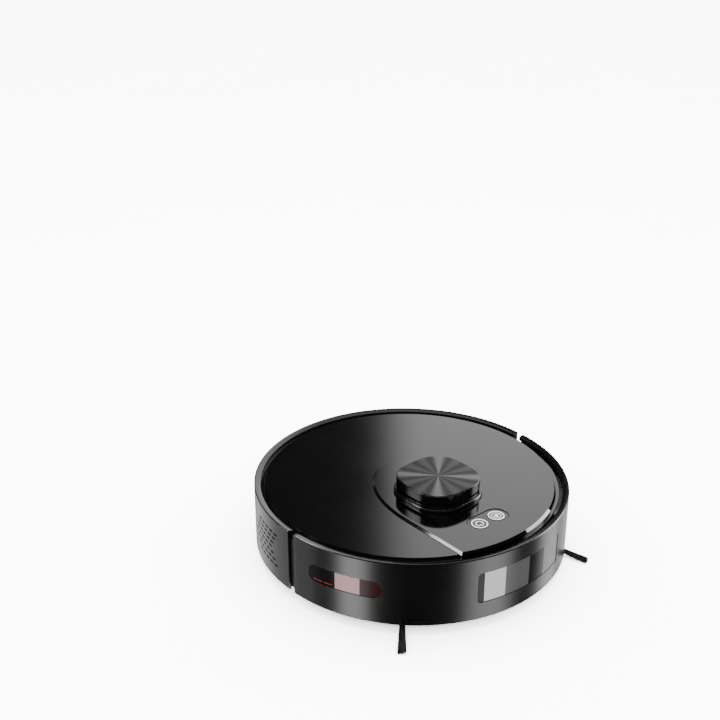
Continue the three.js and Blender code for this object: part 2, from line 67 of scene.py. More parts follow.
def span(node):
    """Lowest and highest corner of a frame node, in millimetres."""
    low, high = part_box(node)
    return low / MM, high / MM


def middle(node):
    low, high = span(node)
    return (low + high) / 2


def half_size(node):
    low, high = span(node)
    return (high - low) / 2


# ---- Places taken from the frame ---------------------------------------------------------------
SHELL_LOW, SHELL_HIGH = span("rear_shell")
SHELL_RADIUS = SHELL_HIGH.y
SHELL_X = SHELL_LOW.x + SHELL_RADIUS
BUMPER_LOW, BUMPER_HIGH = span("bumper")
BUMPER_X = BUMPER_HIGH.x - SHELL_RADIUS
WALL_LOW = SHELL_LOW.z
RIM_TOP = SHELL_HIGH.z
DECK_LOW, DECK_HIGH = span("top_deck")
DECK_RADIUS = DECK_HIGH.y
DECK_TOP = DECK_HIGH.z
PANEL_LOW, PANEL_HIGH = span("deck_insert")
CAP_LOW, CAP_HIGH = span("lidar_cap")
TURRET = middle("lidar_cap")
BIN_LOW, BIN_HIGH = span("dustbin")

# ---- Sizes shared by several pieces, in millimetres --------------------------------------------
GAP = 0.3                       # clearance between neighbouring parts
COVER_CUT = (60, 90)            # heights that a cutter spans to pass through the deck and its panel
TURRET_CUT = (60, 100)          # the same for the turret
BASE_CUT = (0, 30)              # the same for the base plate
TURRET_HOLE = 33                # radius of the hole under the turret
TURRET_BORE = 31.5              # radius of the turret's own opening
BUTTON_HOLE = 10                # radius of the deck's hole under a button
LIP_RADIUS = 166.5              # inner radius of the bumper's turned-in foot
LIP_TOP = WALL_LOW + 2.5        # its upper face
PANE_DEPTH = 0.5                # how far the sensor windows sit behind the wall's face


class ShellSettings(bpy.types.PropertyGroup):
    """Sizes and colour of the shells, the deck and the raised panel."""

    wall: FloatProperty(name="Wall", description="Thickness of the side wall, mm", default=2.6, min=1)
    rim: FloatProperty(name="Rim", description="Width of the raised rim, mm", default=7.0, min=3)
    slope: FloatProperty(name="Rim slope", description="How far the rim's top falls inwards, mm",
                         default=2.0)
    edge: FloatProperty(name="Rim edge", description="Rounding of the rim's outer edge, mm", default=0.8,
                        min=0.1)
    sides: IntProperty(name="Steps", description="Steps round the big turned shells", default=256, min=64)
    flat: FloatProperty(name="Flat deck", description="Radius of the flat part of the deck, mm",
                        default=160.0)
    trough: FloatProperty(name="Trough", description="Height of the groove round the deck, mm",
                          default=77.0)
    chamfer: FloatProperty(name="Panel edge", description="Chamfer of the raised panel, mm", default=2.5,
                           min=0.5)
    shoulder: FloatProperty(name="Shoulder", description="Where the panel starts to round off, mm",
                            default=62.0)
    colour: FloatVectorProperty(name="Shell", description="Colour of the shells", subtype="COLOR",
                                default=(0.0012, 0.0012, 0.0014), min=0, max=1)
    roughness: FloatProperty(name="Shell roughness", description="Roughness of the shells",
                             subtype="FACTOR",
                             default=0.24, min=0, max=1)
    deck_roughness: FloatProperty(name="Deck roughness", description="Roughness of the deck",
                                  subtype="FACTOR",
                                  default=0.12, min=0, max=1)


class TurretSettings(bpy.types.PropertyGroup):
    """Sizes and finish of the laser turret, with the painted reflections on its cap."""

    squareness: FloatProperty(name="Squareness", description="Exponent of the rounded-square outline",
                              default=2.8)
    cap_edge: FloatProperty(name="Cap edge", description="Rounding of the cap's edge, mm", default=0.7,
                            min=0.1)
    # The rays are painted reflections: light and dark streaks in the cap's colour, in place of the light
    # that its brushed metal reflects.
    rays: IntProperty(name="Rays", description="Bright rays brushed into the cap", default=4, min=2)
    # Colours of the painted rays: the dark one is painted shade, the light one a painted reflection.
    dark: FloatVectorProperty(name="Dark rays", description="Darkest metal", subtype="COLOR",
                              default=(0.003, 0.003, 0.0035), min=0, max=1)
    light: FloatVectorProperty(name="Light rays", description="Brightest metal", subtype="COLOR",
                               default=(0.12, 0.12, 0.124), min=0, max=1)


class BrushSettings(bpy.types.PropertyGroup):
    """Bristles of the side brushes and the roller."""

    reach: FloatProperty(name="Reach", description="Length of a side brush arm from its hub's middle, mm",
                         default=64.0, min=20)
    strands: IntProperty(name="Strands", description="Bristles in one side brush arm", default=64, min=10)
    tuft: FloatProperty(name="Tuft width", description="Width of an arm at its tip, mm", default=9.0, min=2)
    twist: FloatProperty(name="Twist", description="Turn of the roller's blades from middle to end",
                         subtype="ANGLE", default=math.radians(42))
    seed: IntProperty(name="Seed", description="Start of the bristles' random spread", default=7)


class WheelSettings(bpy.types.PropertyGroup):
    """Tread of the drive wheels."""

    lugs: IntProperty(name="Lugs", description="Tread lugs round one tyre", default=40, min=12)
    lug_height: FloatProperty(name="Lug height", description="Depth of the tread, mm", default=1.2, min=0.2)


class StudioSettings(bpy.types.PropertyGroup):
    """Floor, lights and camera."""

    sky: FloatProperty(name="Sky", description="Strength of the even light on the floor and matt parts",
                       default=1.2)
    dark: FloatProperty(name="Dark surround", description="What gloss reflects between the softboxes",
                        default=0.05)
    backdrop: FloatProperty(name="Backdrop", description="Strength of the white behind the object",
                            default=16.0)
    floor: FloatProperty(name="Floor", description="Whiteness of the floor as the camera sees it",
                         default=8.5)
    boxes: FloatProperty(name="Softboxes", description="Strength of all softboxes", default=1.0, min=0)
    top_power: FloatProperty(name="Top light", description="Power of the light overhead", subtype="POWER",
                             default=12.0)
    lens: FloatProperty(name="Lens", description="Focal length, mm", default=54.0)


def settings(context, group):
    return getattr(context.scene, "robot_vacuum_" + group)


# ---- Mesh tools --------------------------------------------------------------------------------
def spin_profile(mesh, profile, centre=(0, 0), steps=96, closed=True, angle=FULL_TURN):
    """Spins (radius, height) points round an upright axis, starting at the axis's +X side."""
    verts = [mesh.verts.new((centre[0] + r, centre[1], z)) for r, z in profile]
    edges = [mesh.edges.new(pair) for pair in zip(verts, verts[1:])]
    if closed:
        edges.append(mesh.edges.new((verts[-1], verts[0])))
    full = abs(angle - FULL_TURN) < 1e-6
    bmesh.ops.spin(mesh, geom=verts + edges, cent=(*centre, 0), axis=(0, 0, 1), dvec=(0, 0, 0), angle=angle,
                   steps=steps, use_merge=full)
    bmesh.ops.remove_doubles(mesh, verts=mesh.verts, dist=0.0005)
    if not full:
        close_holes(mesh)
    bmesh.ops.recalc_face_normals(mesh, faces=mesh.faces)
    return mesh


def turned(profile, centre=(0, 0), steps=96, closed=True, angle=FULL_TURN):
    return spin_profile(bmesh.new(), profile, centre, steps, closed, angle)


def cylinder(radius, low, high, centre=(0, 0), steps=96):
    return turned([(0, low), (radius, low), (radius, high), (0, high)], centre, steps, closed=False)


def tube(inner, outer, low, high, centre=(0, 0), steps=96, angle=FULL_TURN):
    return turned([(inner, low), (outer, low), (outer, high), (inner, high)], centre, steps, angle=angle)


def close_holes(mesh):
    bmesh.ops.holes_fill(mesh, edges=[e for e in mesh.edges if e.is_boundary], sides=0)


def keep_below(mesh, point, normal):
    """Cuts away what lies beyond a plane and closes the cut."""
    geometry = mesh.verts[:] + mesh.edges[:] + mesh.faces[:]
    bmesh.ops.bisect_plane(mesh, geom=geometry, plane_co=point, plane_no=normal, clear_outer=True)
    close_holes(mesh)
    bmesh.ops.recalc_face_normals(mesh, faces=mesh.faces)
    return mesh


def prism(outline, low, high):
    """An upright block over a closed outline of (x, y) points."""
    mesh = bmesh.new()
    face = mesh.faces.new([mesh.verts.new((x, y, low)) for x, y in outline])
    made = bmesh.ops.extrude_face_region(mesh, geom=[face])
    top = [item for item in made["geom"] if isinstance(item, bmesh.types.BMVert)]
    bmesh.ops.translate(mesh, verts=top, vec=(0, 0, high - low))
    bmesh.ops.recalc_face_normals(mesh, faces=mesh.faces)
    return mesh


def block(x, y, z, edge=0.0, segments=2):
    mesh = bmesh.new()
    size = Vector((x[1] - x[0], y[1] - y[0], z[1] - z[0]))
    place = Vector((x[0] + x[1], y[0] + y[1], z[0] + z[1])) / 2
    bmesh.ops.create_cube(mesh, size=1, matrix=Matrix.Translation(place) @ Matrix.Diagonal((*size, 1)))
    if edge:
        bevel(mesh, mesh.edges[:], edge, segments)
    return mesh


def bevel(mesh, edges, offset, segments=1):
    bmesh.ops.bevel(mesh, geom=edges, offset=offset, offset_type="OFFSET", segments=segments, profile=0.5,
                    affect="EDGES", material=-1)


def edges_at(mesh, height):
    """The edges that lie in a block's top face."""
    return [edge for edge in mesh.edges if all(vert.co.z > height - 0.01 for vert in edge.verts)]


def moved(mesh, matrix):
    bmesh.ops.transform(mesh, matrix=matrix, verts=mesh.verts)
    return mesh


def turn_z(angle, place=(0, 0, 0)):
    return Matrix.Translation(place) @ Matrix.Rotation(angle, 4, "Z")


def lay_along_y(place):
    """Turns an upright shape so that its axis runs along Y, and puts it in place."""
    return Matrix.Translation(place) @ Matrix.Rotation(-math.pi / 2, 4, "X")


def joined(*meshes):
    """Puts several meshes into the first one."""
    first = meshes[0]
    for other in meshes[1:]:
        data = bpy.data.meshes.new("part")
        other.to_mesh(data)
        other.free()
        first.from_mesh(data)
        bpy.data.meshes.remove(data)
    return first


def as_object(name, mesh):
    """A bmesh in millimetres as an object in metres, standing at the origin."""
    bmesh.ops.scale(mesh, vec=(MM, MM, MM), verts=mesh.verts)
    data = bpy.data.meshes.new(name)
    mesh.to_mesh(data)
    mesh.free()
    made = bpy.data.objects.new(name, data)
    bpy.context.scene.collection.objects.link(made)
    return made


def bake_modifiers(item):
    """Makes the modifiers' result the object's own mesh."""
    bpy.context.view_layer.update()
    depsgraph = bpy.context.evaluated_depsgraph_get()
    data = bpy.data.meshes.new_from_object(item.evaluated_get(depsgraph))
    item.modifiers.clear()
    item.data = data


def cut(item, *cutters, operation="DIFFERENCE"):
    """Cuts the shapes of closed meshes out of an object, or keeps only what they share with it."""
    tools = [as_object("cutter", cutter) for cutter in cutters]
    for tool in tools:
        modifier = item.modifiers.new("cut", "BOOLEAN")
        modifier.operation = operation
        modifier.solver = "EXACT"
        modifier.object = tool
    bake_modifiers(item)
    for tool in tools:
        bpy.data.objects.remove(tool)
    return item


def round_off(item, width, segments=2, angle=SHARP):
    modifier = item.modifiers.new("edges", "BEVEL")
    modifier.width = width * MM
    modifier.segments = segments
    modifier.limit_method = "ANGLE"
    modifier.angle_limit = angle
    flat = item.modifiers.new("flat faces", "WEIGHTED_NORMAL")
    flat.keep_sharp = True


def smooth(item):
    item.data.shade_smooth()
    item.data.set_sharp_from_angle(angle=SHARP)


def true_round(item, centre_x, radius):
    """Gives the upright outer wall the normals of a true cylinder, so that cut-outs leave no facets."""
    data = item.data
    normals = [Vector((0, 0, 0))] * len(data.loops)
    for face in data.polygons:
        if abs(face.normal.z) > 0.05:
            continue
        for index in face.loop_indices:
            place = data.vertices[data.loops[index].vertex_index].co
            out = Vector((place.x - centre_x * MM, place.y, 0))
            if abs(out.length - radius * MM) < 0.1 * MM and face.normal.dot(out.normalized()) > 0.99:
                normals[index] = out.normalized()
    data.normals_split_custom_set(normals)


def dress(item, body, slot, material, *nodes):
    """Finishes a piece: its material, its body and the frame nodes that it stands for; the slot that it is
    given is not used.
    """
    item.data.materials.clear()
    item.data.materials.append(material)
    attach(item, body)
    if nodes:
        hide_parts(*nodes)
    return item


def finish(item, body, slot, material, *nodes, edge=0.25, segments=2):
    """Smooth shading, softened edges and the finish of a piece."""
    smooth(item)
    if edge:
        round_off(item, edge, segments)
    return dress(item, body, slot, material, *nodes)


def finish_round(item, centre_x, radius, edge, segments=2):
    """Softens the edges of a cut shell and keeps its outer wall truly round."""
    round_off(item, edge, segments)
    bake_modifiers(item)
    smooth(item)
    true_round(item, centre_x, radius)


def piece(name, mesh, body, slot, material, *nodes, edge=0.25, segments=2):
    """The usual way from a mesh to a finished piece with softened edges."""
    return finish(as_object(name, mesh), body, slot, material, *nodes, edge=edge, segments=segments)


# ---- Outlines ----------------------------------------------------------------------------------
def squircle(half, power, count=128):
    points = []
    for i in range(count):
        angle = FULL_TURN * i / count
        c, s = math.cos(angle), math.sin(angle)
        reach = half / (abs(c) ** power + abs(s) ** power) ** (1 / power)
        points.append((TURRET.x + reach * c, reach * s))
    return points


def rounded_rectangle(half_x, half_y, radius, steps=8, centre=(0, 0)):
    points = []
    for corner, (sx, sy) in enumerate(((1, 1), (-1, 1), (-1, -1), (1, -1))):
        for i in range(steps + 1):
            angle = (corner + i / steps) * math.pi / 2
            points.append((centre[0] + sx * (half_x - radius) + radius * math.cos(angle),
                           centre[1] + sy * (half_y - radius) + radius * math.sin(angle)))
    return points


def panel_outline(shoulder, arc_steps=40, tail_steps=72):
    """Foot of the raised panel: a front arc, two straight sides and half an ellipse for the tail."""
    half = PANEL_HIGH.y
    front = PANEL_HIGH.x - SHELL_X
    tail = shoulder - PANEL_LOW.x
    reach = math.asin(half / front)
    points = []
    for i in range(arc_steps + 1):
        angle = reach * (2 * i / arc_steps - 1)
        points.append((SHELL_X + front * math.cos(angle), front * math.sin(angle)))
    for i in range(tail_steps + 1):
        angle = math.pi / 2 + math.pi * i / tail_steps
        points.append((shoulder + tail * math.cos(angle), half * math.sin(angle)))
    return points


# ---- Shader groups -----------------------------------------------------------------------------
def shader_group(name, inputs, outputs):
    """A new node group with named inputs and outputs, and its two end nodes."""
    tree = bpy.data.node_groups.new(name, "ShaderNodeTree")
    for label, kind, value in inputs:
        socket = tree.interface.new_socket(name=label, in_out="INPUT", socket_type=kind)
        socket.default_value = value
    for label, kind in outputs:
        tree.interface.new_socket(name=label, in_out="OUTPUT", socket_type=kind)
    return tree, tree.nodes.new("NodeGroupInput"), tree.nodes.new("NodeGroupOutput")


def math_node(tree, operation, first, second=None, clamp=False):
    node = tree.nodes.new("ShaderNodeMath")
    node.operation = operation
    node.use_clamp = clamp
    for socket, value in zip(node.inputs, (first, second)):
        if isinstance(value, (int, float)):
            socket.default_value = value
        elif value is not None:
            tree.links.new(value, socket)
    return node.outputs[0]


def noise_node(tree, vector, scale, detail=2.0):
    node = tree.nodes.new("ShaderNodeTexNoise")
    node.inputs["Detail"].default_value = detail
    tree.links.new(vector, node.inputs["Vector"])
    if isinstance(scale, (int, float)):
        node.inputs["Scale"].default_value = scale
    else:
        tree.links.new(scale, node.inputs["Scale"])
    return node.outputs["Fac"]


def mix_colour(tree, factor, first, second):
    node = tree.nodes.new("ShaderNodeMix")
    node.data_type = "RGBA"
    for socket, value in ((node.inputs[0], factor), (node.inputs[6], first), (node.inputs[7], second)):
        if isinstance(value, bpy.types.NodeSocket):
            tree.links.new(value, socket)
        else:
            socket.default_value = value if isinstance(value, (int, float)) else (*value, 1)
    return node.outputs[2]


def moulded_grain_group():
    """Fine moulded grain, with patches where the gloss differs a little."""
    tree, start, end = shader_group(
        "Moulded grain",
        [("Grain scale", "NodeSocketFloat", 1500.0), ("Roughness", "NodeSocketFloat", 0.3),
         ("Spread", "NodeSocketFloat", 0.05), ("Patch scale", "NodeSocketFloat", 14.0)],
        [("Height", "NodeSocketFloat"), ("Roughness", "NodeSocketFloat")])
    place = tree.nodes.new("ShaderNodeTexCoord").outputs["Object"]
    grain = noise_node(tree, place, start.outputs["Grain scale"], 3.0)
    patches = noise_node(tree, place, start.outputs["Patch scale"], 4.0)
    both = math_node(tree, "ADD", math_node(tree, "MULTIPLY", patches, 1.4),
                     math_node(tree, "MULTIPLY", grain, 0.6))
    swing = math_node(tree, "MULTIPLY", math_node(tree, "SUBTRACT", both, 1.0), start.outputs["Spread"])
    rough = math_node(tree, "ADD", start.outputs["Roughness"], swing, clamp=True)
    tree.links.new(grain, end.inputs["Height"])
    tree.links.new(rough, end.inputs["Roughness"])
    return tree


def edge_wear_group():
    """Lightens a colour along worn edges and mottles it a little."""
    tree, start, end = shader_group(
        "Edge wear",
        [("Colour", "NodeSocketColor", (0.01, 0.01, 0.01, 1)),
         ("Worn", "NodeSocketColor", (0.1, 0.1, 0.1, 1)),
         ("Amount", "NodeSocketFloat", 0.5), ("Mottle", "NodeSocketFloat", 0.1)],
        [("Colour", "NodeSocketColor"), ("Mask", "NodeSocketFloat")])
    place = tree.nodes.new("ShaderNodeTexCoord").outputs["Object"]
    ridge = tree.nodes.new("ShaderNodeMapRange")
    ridge.inputs["From Min"].default_value = 0.52
    ridge.inputs["From Max"].default_value = 0.62
    tree.links.new(tree.nodes.new("ShaderNodeNewGeometry").outputs["Pointiness"], ridge.inputs["Value"])
    scuffs = math_node(tree, "MULTIPLY", ridge.outputs[0], noise_node(tree, place, 90.0, 5.0))
    mask = math_node(tree, "MULTIPLY", scuffs, start.outputs["Amount"], clamp=True)
    worn = mix_colour(tree, mask, start.outputs["Colour"], start.outputs["Worn"])
    clouds = math_node(tree, "MULTIPLY", noise_node(tree, place, 22.0, 4.0), start.outputs["Mottle"])
    tree.links.new(mix_colour(tree, clouds, worn, start.outputs["Worn"]), end.inputs["Colour"])
    tree.links.new(mask, end.inputs["Mask"])
    return tree


def dust_group():
    """Pale dust that settles on what faces up."""
    tree, start, end = shader_group(
        "Settled dust",
        [("Colour", "NodeSocketColor", (0.01, 0.01, 0.01, 1)), ("Roughness", "NodeSocketFloat", 0.3),
         ("Amount", "NodeSocketFloat", 0.03)],
        [("Colour", "NodeSocketColor"), ("Roughness", "NodeSocketFloat")])
    place = tree.nodes.new("ShaderNodeTexCoord").outputs["Object"]
    normal = tree.nodes.new("ShaderNodeSeparateXYZ")
    tree.links.new(tree.nodes.new("ShaderNodeNewGeometry").outputs["Normal"], normal.inputs[0])
    specks = math_node(tree, "POWER", noise_node(tree, place, 700.0, 6.0), 3.0)
    facing = math_node(tree, "MULTIPLY", normal.outputs["Z"], specks, clamp=True)
    mask = math_node(tree, "MULTIPLY", facing, start.outputs["Amount"], clamp=True)
    tree.links.new(mix_colour(tree, mask, start.outputs["Colour"], (0.4, 0.39, 0.37)), end.inputs["Colour"])
    tree.links.new(math_node(tree, "ADD", start.outputs["Roughness"], mask, clamp=True),
                   end.inputs["Roughness"])
    return tree


# ---- Materials ---------------------------------------------------------------------------------
def put_group(tree, name, values):
    node = tree.nodes.new("ShaderNodeGroup")
    node.node_tree = bpy.data.node_groups[name]
    for label, value in values.items():
        if isinstance(value, bpy.types.NodeSocket):
            tree.links.new(value, node.inputs[label])
        else:
            node.inputs[label].default_value = value if isinstance(value, (int, float)) else (*value, 1)
    return node


def blank_material(name):
    material = bpy.data.materials.new(name)
    material.use_nodes = True
    tree = material.node_tree
    return material, tree, tree.nodes["Principled BSDF"]


MADE = {}


def moulded(name, colour, roughness, spread=0.06, grain=1500.0, bump=0.03, worn=(0.08, 0.08, 0.085),
            wear=0.35,
            mottle=0.03, metallic=0.0, coat=0.0, dust=0.03):
    """The usual finish: a base colour with worn edges and dust, grain in its gloss and a fine bump."""
    if name in MADE:
        return MADE[name]
    material, tree, shader = blank_material(name)
    MADE[name] = material
    edges = put_group(tree, "Edge wear", {"Colour": colour, "Worn": worn, "Amount": wear, "Mottle": mottle})
    surface = put_group(tree, "Moulded grain", {"Grain scale": grain, "Roughness": roughness,
                                                "Spread": spread})
    dusty = put_group(tree, "Settled dust", {"Colour": edges.outputs["Colour"],
                                             "Roughness": surface.outputs["Roughness"], "Amount": dust})
    relief = tree.nodes.new("ShaderNodeBump")
    relief.inputs["Strength"].default_value = bump
    relief.inputs["Distance"].default_value = 0.1 * MM
    tree.links.new(surface.outputs["Height"], relief.inputs["Height"])
    tree.links.new(relief.outputs[0], shader.inputs["Normal"])
    tree.links.new(dusty.outputs["Colour"], shader.inputs["Base Color"])
    tree.links.new(dusty.outputs["Roughness"], shader.inputs["Roughness"])
    shader.inputs["Metallic"].default_value = metallic
    shader.inputs["Coat Weight"].default_value = coat
    shader.inputs["Coat Roughness"].default_value = 0.05
    return material


def shell_black(context):
    shell = settings(context, "shell")
    return moulded("satin_shell", tuple(shell.colour), shell.roughness, spread=0.04, bump=0.01,
                   grain=2200.0,
                   wear=0.06, mottle=0.002, dust=0.002)


def deck_gloss(context):
    shell = settings(context, "shell")
    return moulded("polished_deck", tuple(shell.colour), shell.deck_roughness, spread=0.03, bump=0.008,
                   grain=2600.0,
                   wear=0.06, mottle=0.002, dust=0.003)


def panel_gloss(context):
    shell = settings(context, "shell")
    return moulded("polished_panel", tuple(shell.colour), shell.deck_roughness * 0.75, spread=0.02,
                   bump=0.006,
                   grain=2600.0, wear=0.06, mottle=0.002, dust=0.003)


def polished_edge(context):
    shell = settings(context, "shell")
    return moulded("polished_edge", tuple(shell.colour), 0.04, spread=0.01, bump=0.002, grain=2600.0,
                   wear=0.05,
                   mottle=0.002, dust=0.0)


def base_black():
    return moulded("moulded_base", (0.018, 0.018, 0.019), 0.5, spread=0.1, grain=900.0, bump=0.25,
                   wear=0.06,
                   mottle=0.05)


def dark_plastic():
    return moulded("grey_moulding", (0.028, 0.029, 0.032), 0.48, spread=0.1, grain=1100.0, bump=0.2,
                   wear=0.5,
                   mottle=0.06)


def piano_black():
    return moulded("piano_black", (0.003, 0.003, 0.0035), 0.16, spread=0.03, bump=0.004, wear=0.1,
                   mottle=0.002,
                   dust=0.0)


def soft_rubber(name="soft_rubber", colour=(0.045, 0.048, 0.055)):
    return moulded(name, colour, 0.62, spread=0.12, grain=700.0, bump=0.3, worn=(0.12, 0.12, 0.13),
                   wear=0.5,
                   mottle=0.1, dust=0.2)


def nylon_black():
    return moulded("nylon_black", (0.012, 0.012, 0.013), 0.38, spread=0.1, grain=3000.0, bump=0.1,
                   worn=(0.09, 0.09, 0.09), wear=0.3, mottle=0.1)


def plain_steel():
    return moulded("plain_steel", (0.42, 0.42, 0.44), 0.3, spread=0.15, grain=1800.0, bump=0.15,
                   metallic=1.0,
                   worn=(0.6, 0.6, 0.62), mottle=0.2)


def gold_plate():
    return moulded("gold_plate", (0.72, 0.52, 0.22), 0.24, spread=0.12, grain=1600.0, bump=0.05,
                   metallic=1.0,
                   worn=(0.85, 0.68, 0.4), mottle=0.15, dust=0.0)


def white_print():
    """White print that glows a little, as if lit from behind."""
    material = moulded("white_print", (0.85, 0.85, 0.85), 0.4, spread=0.08, bump=0.02, worn=(0.6, 0.6, 0.6),
                       mottle=0.1, dust=0.0)
    shader = material.node_tree.nodes["Principled BSDF"]
    shader.inputs["Emission Color"].default_value = (1, 1, 1, 1)
    shader.inputs["Emission Strength"].default_value = 1.0
    return material


def object_place(tree, centre=(0, 0, 0)):
    """Object coordinates, in metres, measured from a centre given in millimetres."""
    mapping = tree.nodes.new("ShaderNodeMapping")
    mapping.inputs["Location"].default_value = [-value * MM for value in centre]
    tree.links.new(tree.nodes.new("ShaderNodeTexCoord").outputs["Object"], mapping.inputs["Vector"])
    return mapping.outputs[0]


def ramp(tree, factor, stops, interpolation="LINEAR"):
    node = tree.nodes.new("ShaderNodeValToRGB")
    node.color_ramp.interpolation = interpolation
    elements = node.color_ramp.elements
    while len(elements) < len(stops):
        elements.new(0.5)
    for element, (position, colour) in zip(elements, stops):
        element.position = position
        element.color = (*colour, 1)
    tree.links.new(factor, node.inputs[0])
    return node.outputs[0]


def brushed_cap_painted_rays(context):
    """Dark metal brushed outwards from the middle, with broad light and dark rays painted into its colour:
    painted reflections that stand in for the light which the brushing catches.
    """
    turret = settings(context, "turret")
    material, tree, shader = blank_material("brushed_cap_painted_rays")
    place = object_place(tree, (TURRET.x, 0, 0))
    parts = tree.nodes.new("ShaderNodeSeparateXYZ")
    tree.links.new(place, parts.inputs[0])
    angle = math_node(tree, "ARCTAN2", parts.outputs["Y"], parts.outputs["X"])
    # Painted reflections: the rays below lighten and darken the colour by bearing round the middle.
    from_corner = math_node(tree, "SUBTRACT", angle, math.pi / 4)
    swing = math_node(tree, "COSINE", math_node(tree, "MULTIPLY", from_corner, turret.rays))
    broad = math_node(tree, "POWER", math_node(tree, "MAXIMUM", swing, 0.0), 5.0)
    ripple = math_node(tree, "COSINE", math_node(tree, "MULTIPLY", from_corner, 3 * turret.rays))
    fine = math_node(tree, "MULTIPLY", math_node(tree, "ADD", ripple, 1.0), 0.16)
    direction = tree.nodes.new("ShaderNodeVectorMath")
    direction.operation = "NORMALIZE"
    tree.links.new(place, direction.inputs[0])
    hairs = noise_node(tree, direction.outputs[0], 46.0, 6.0)
    rays = math_node(tree, "ADD", math_node(tree, "MULTIPLY", broad, 0.75), fine)
    level = math_node(tree, "MULTIPLY", rays, math_node(tree, "ADD", hairs, 0.5), clamp=True)
    # Paints the rays into the base colour, from the dark to the light ray colour.
    tree.links.new(ramp(tree, level, [(0.0, turret.dark), (1.0, turret.light)]),
                   shader.inputs["Base Color"])
    tree.links.new(math_node(tree, "ADD", math_node(tree, "MULTIPLY", hairs, 0.25), 0.22),
                   shader.inputs["Roughness"])
    relief = tree.nodes.new("ShaderNodeBump")
    relief.inputs["Strength"].default_value = 0.12
    relief.inputs["Distance"].default_value = 0.05 * MM
    tree.links.new(hairs, relief.inputs["Height"])
    tree.links.new(relief.outputs[0], shader.inputs["Normal"])
    shader.inputs["Metallic"].default_value = 0.85
    return material


def sensor_pane(name, bearing, half_width, stops, roughness):
    """A glossy window coloured in bands by the bearing round the robot: dark masks behind it, and lighter
    bands that are painted reflections.
    """
    material, tree, shader = blank_material(name)
    place = object_place(tree, (BUMPER_X, 0, 0))
    parts = tree.nodes.new("ShaderNodeSeparateXYZ")
    tree.links.new(place, parts.inputs[0])
    angle = math_node(tree, "ARCTAN2", parts.outputs["Y"], parts.outputs["X"])
    along = tree.nodes.new("ShaderNodeMapRange")
    along.inputs["From Min"].default_value = bearing - half_width
    along.inputs["From Max"].default_value = bearing + half_width
    tree.links.new(angle, along.inputs["Value"])
    haze = math_node(tree, "MULTIPLY", noise_node(tree, place, 60.0, 3.0), 0.02)
    # Painted reflections: the ramp puts the lighter bands, which stand in for light that the window
    # reflects, into its colour along with the dark masks.
    masks_and_painted_reflections = ramp(tree, along.outputs[0], stops, "CONSTANT")
    tree.links.new(mix_colour(tree, haze, masks_and_painted_reflections, (0.1, 0.1, 0.1)), shader.inputs["Base Color"])
    surface = put_group(tree, "Moulded grain", {"Grain scale": 1200.0, "Roughness": roughness,
                                                "Spread": 0.03})
    tree.links.new(surface.outputs["Roughness"], shader.inputs["Roughness"])
    shader.inputs["Specular IOR Level"].default_value = 0.15
    return material


# ---- Operators: shells -------------------------------------------------------------------------
class ROBOTVAC_OT_rear_shell(bpy.types.Operator):
    """Builds the rear shell with its rim, exhaust slots and bin opening"""
    bl_idname = "robotvac.rear_shell"
    bl_label = "Rear Shell"

    def execute(self, context):
        shell = settings(context, "shell")
        outer, inner = SHELL_RADIUS, SHELL_RADIUS - shell.wall
        ledge = DECK_LOW.z - GAP
        profile = [(inner, WALL_LOW), (outer - shell.edge, WALL_LOW), (outer, WALL_LOW + 1),
                   (outer, RIM_TOP - shell.edge), (outer - shell.edge, RIM_TOP),
                   (outer - shell.rim, RIM_TOP - shell.slope),
                   (outer - shell.rim, ledge), (outer - 9.5, ledge), (outer - 9.5, ledge - 3),
                   (inner, ledge - 3)]
        mesh = turned(profile, (SHELL_X, 0), shell.sides)
        keep_below(mesh, (SHELL_HIGH.x, 0, 0), (1, 0, 0))
        item = as_object("rear_shell_wall", mesh)
        low, high = span("bin_lid")
        opening = block((SHELL_LOW.x - 5, -120), (BIN_LOW.y - GAP, BIN_HIGH.y + GAP),
                        (BIN_LOW.z - GAP, high.z + GAP))
        pockets = [contact_pocket(side) for side in SIDES]
        cut(item, opening, self.slots(), *pockets)
        finish_round(item, SHELL_X, outer, 0.25)
        dress(item, "body", "shell_black", shell_black(context), "rear_shell")
        return {"FINISHED"}

    def slots(self):
        """Seven rows of short exhaust slots whose front ends draw a V."""
        cutters = []
        for row in range(7):
            first = -96.2 - 1.3 * (3 - abs(row - 3))
            z = 28.5 + 6.3 * row
            for column in range(5):
                shape = prism(rounded_rectangle(3.6, 1.2, 1.1, 3), 0, 30)
                upright = Matrix.Rotation(math.pi / 2, 4, "Y") @ Matrix.Rotation(math.pi / 2, 4, "Z")
                bearing = math.radians(first - 3.2 * column)
                place = turn_z(bearing, (SHELL_X, 0, z)) @ Matrix.Translation((SHELL_RADIUS - 15, 0, 0))
                cutters.append(moved(shape, place @ upright))
        return joined(*cutters)


def contact_pocket(side):
    low, high = span("charge_contact_" + side)
    centre = (low + high) / 2
    bearing = math.atan2(centre.y, centre.x - SHELL_X)
    half_width = (high.y - low.y) / 2 / abs(math.cos(bearing)) + GAP
    shape = block((SHELL_RADIUS - 2.2, SHELL_RADIUS + 6), (-half_width, half_width),
                  (low.z - GAP, high.z + GAP), 0.6)
    return moved(shape, turn_z(bearing, (SHELL_X, 0, 0)))


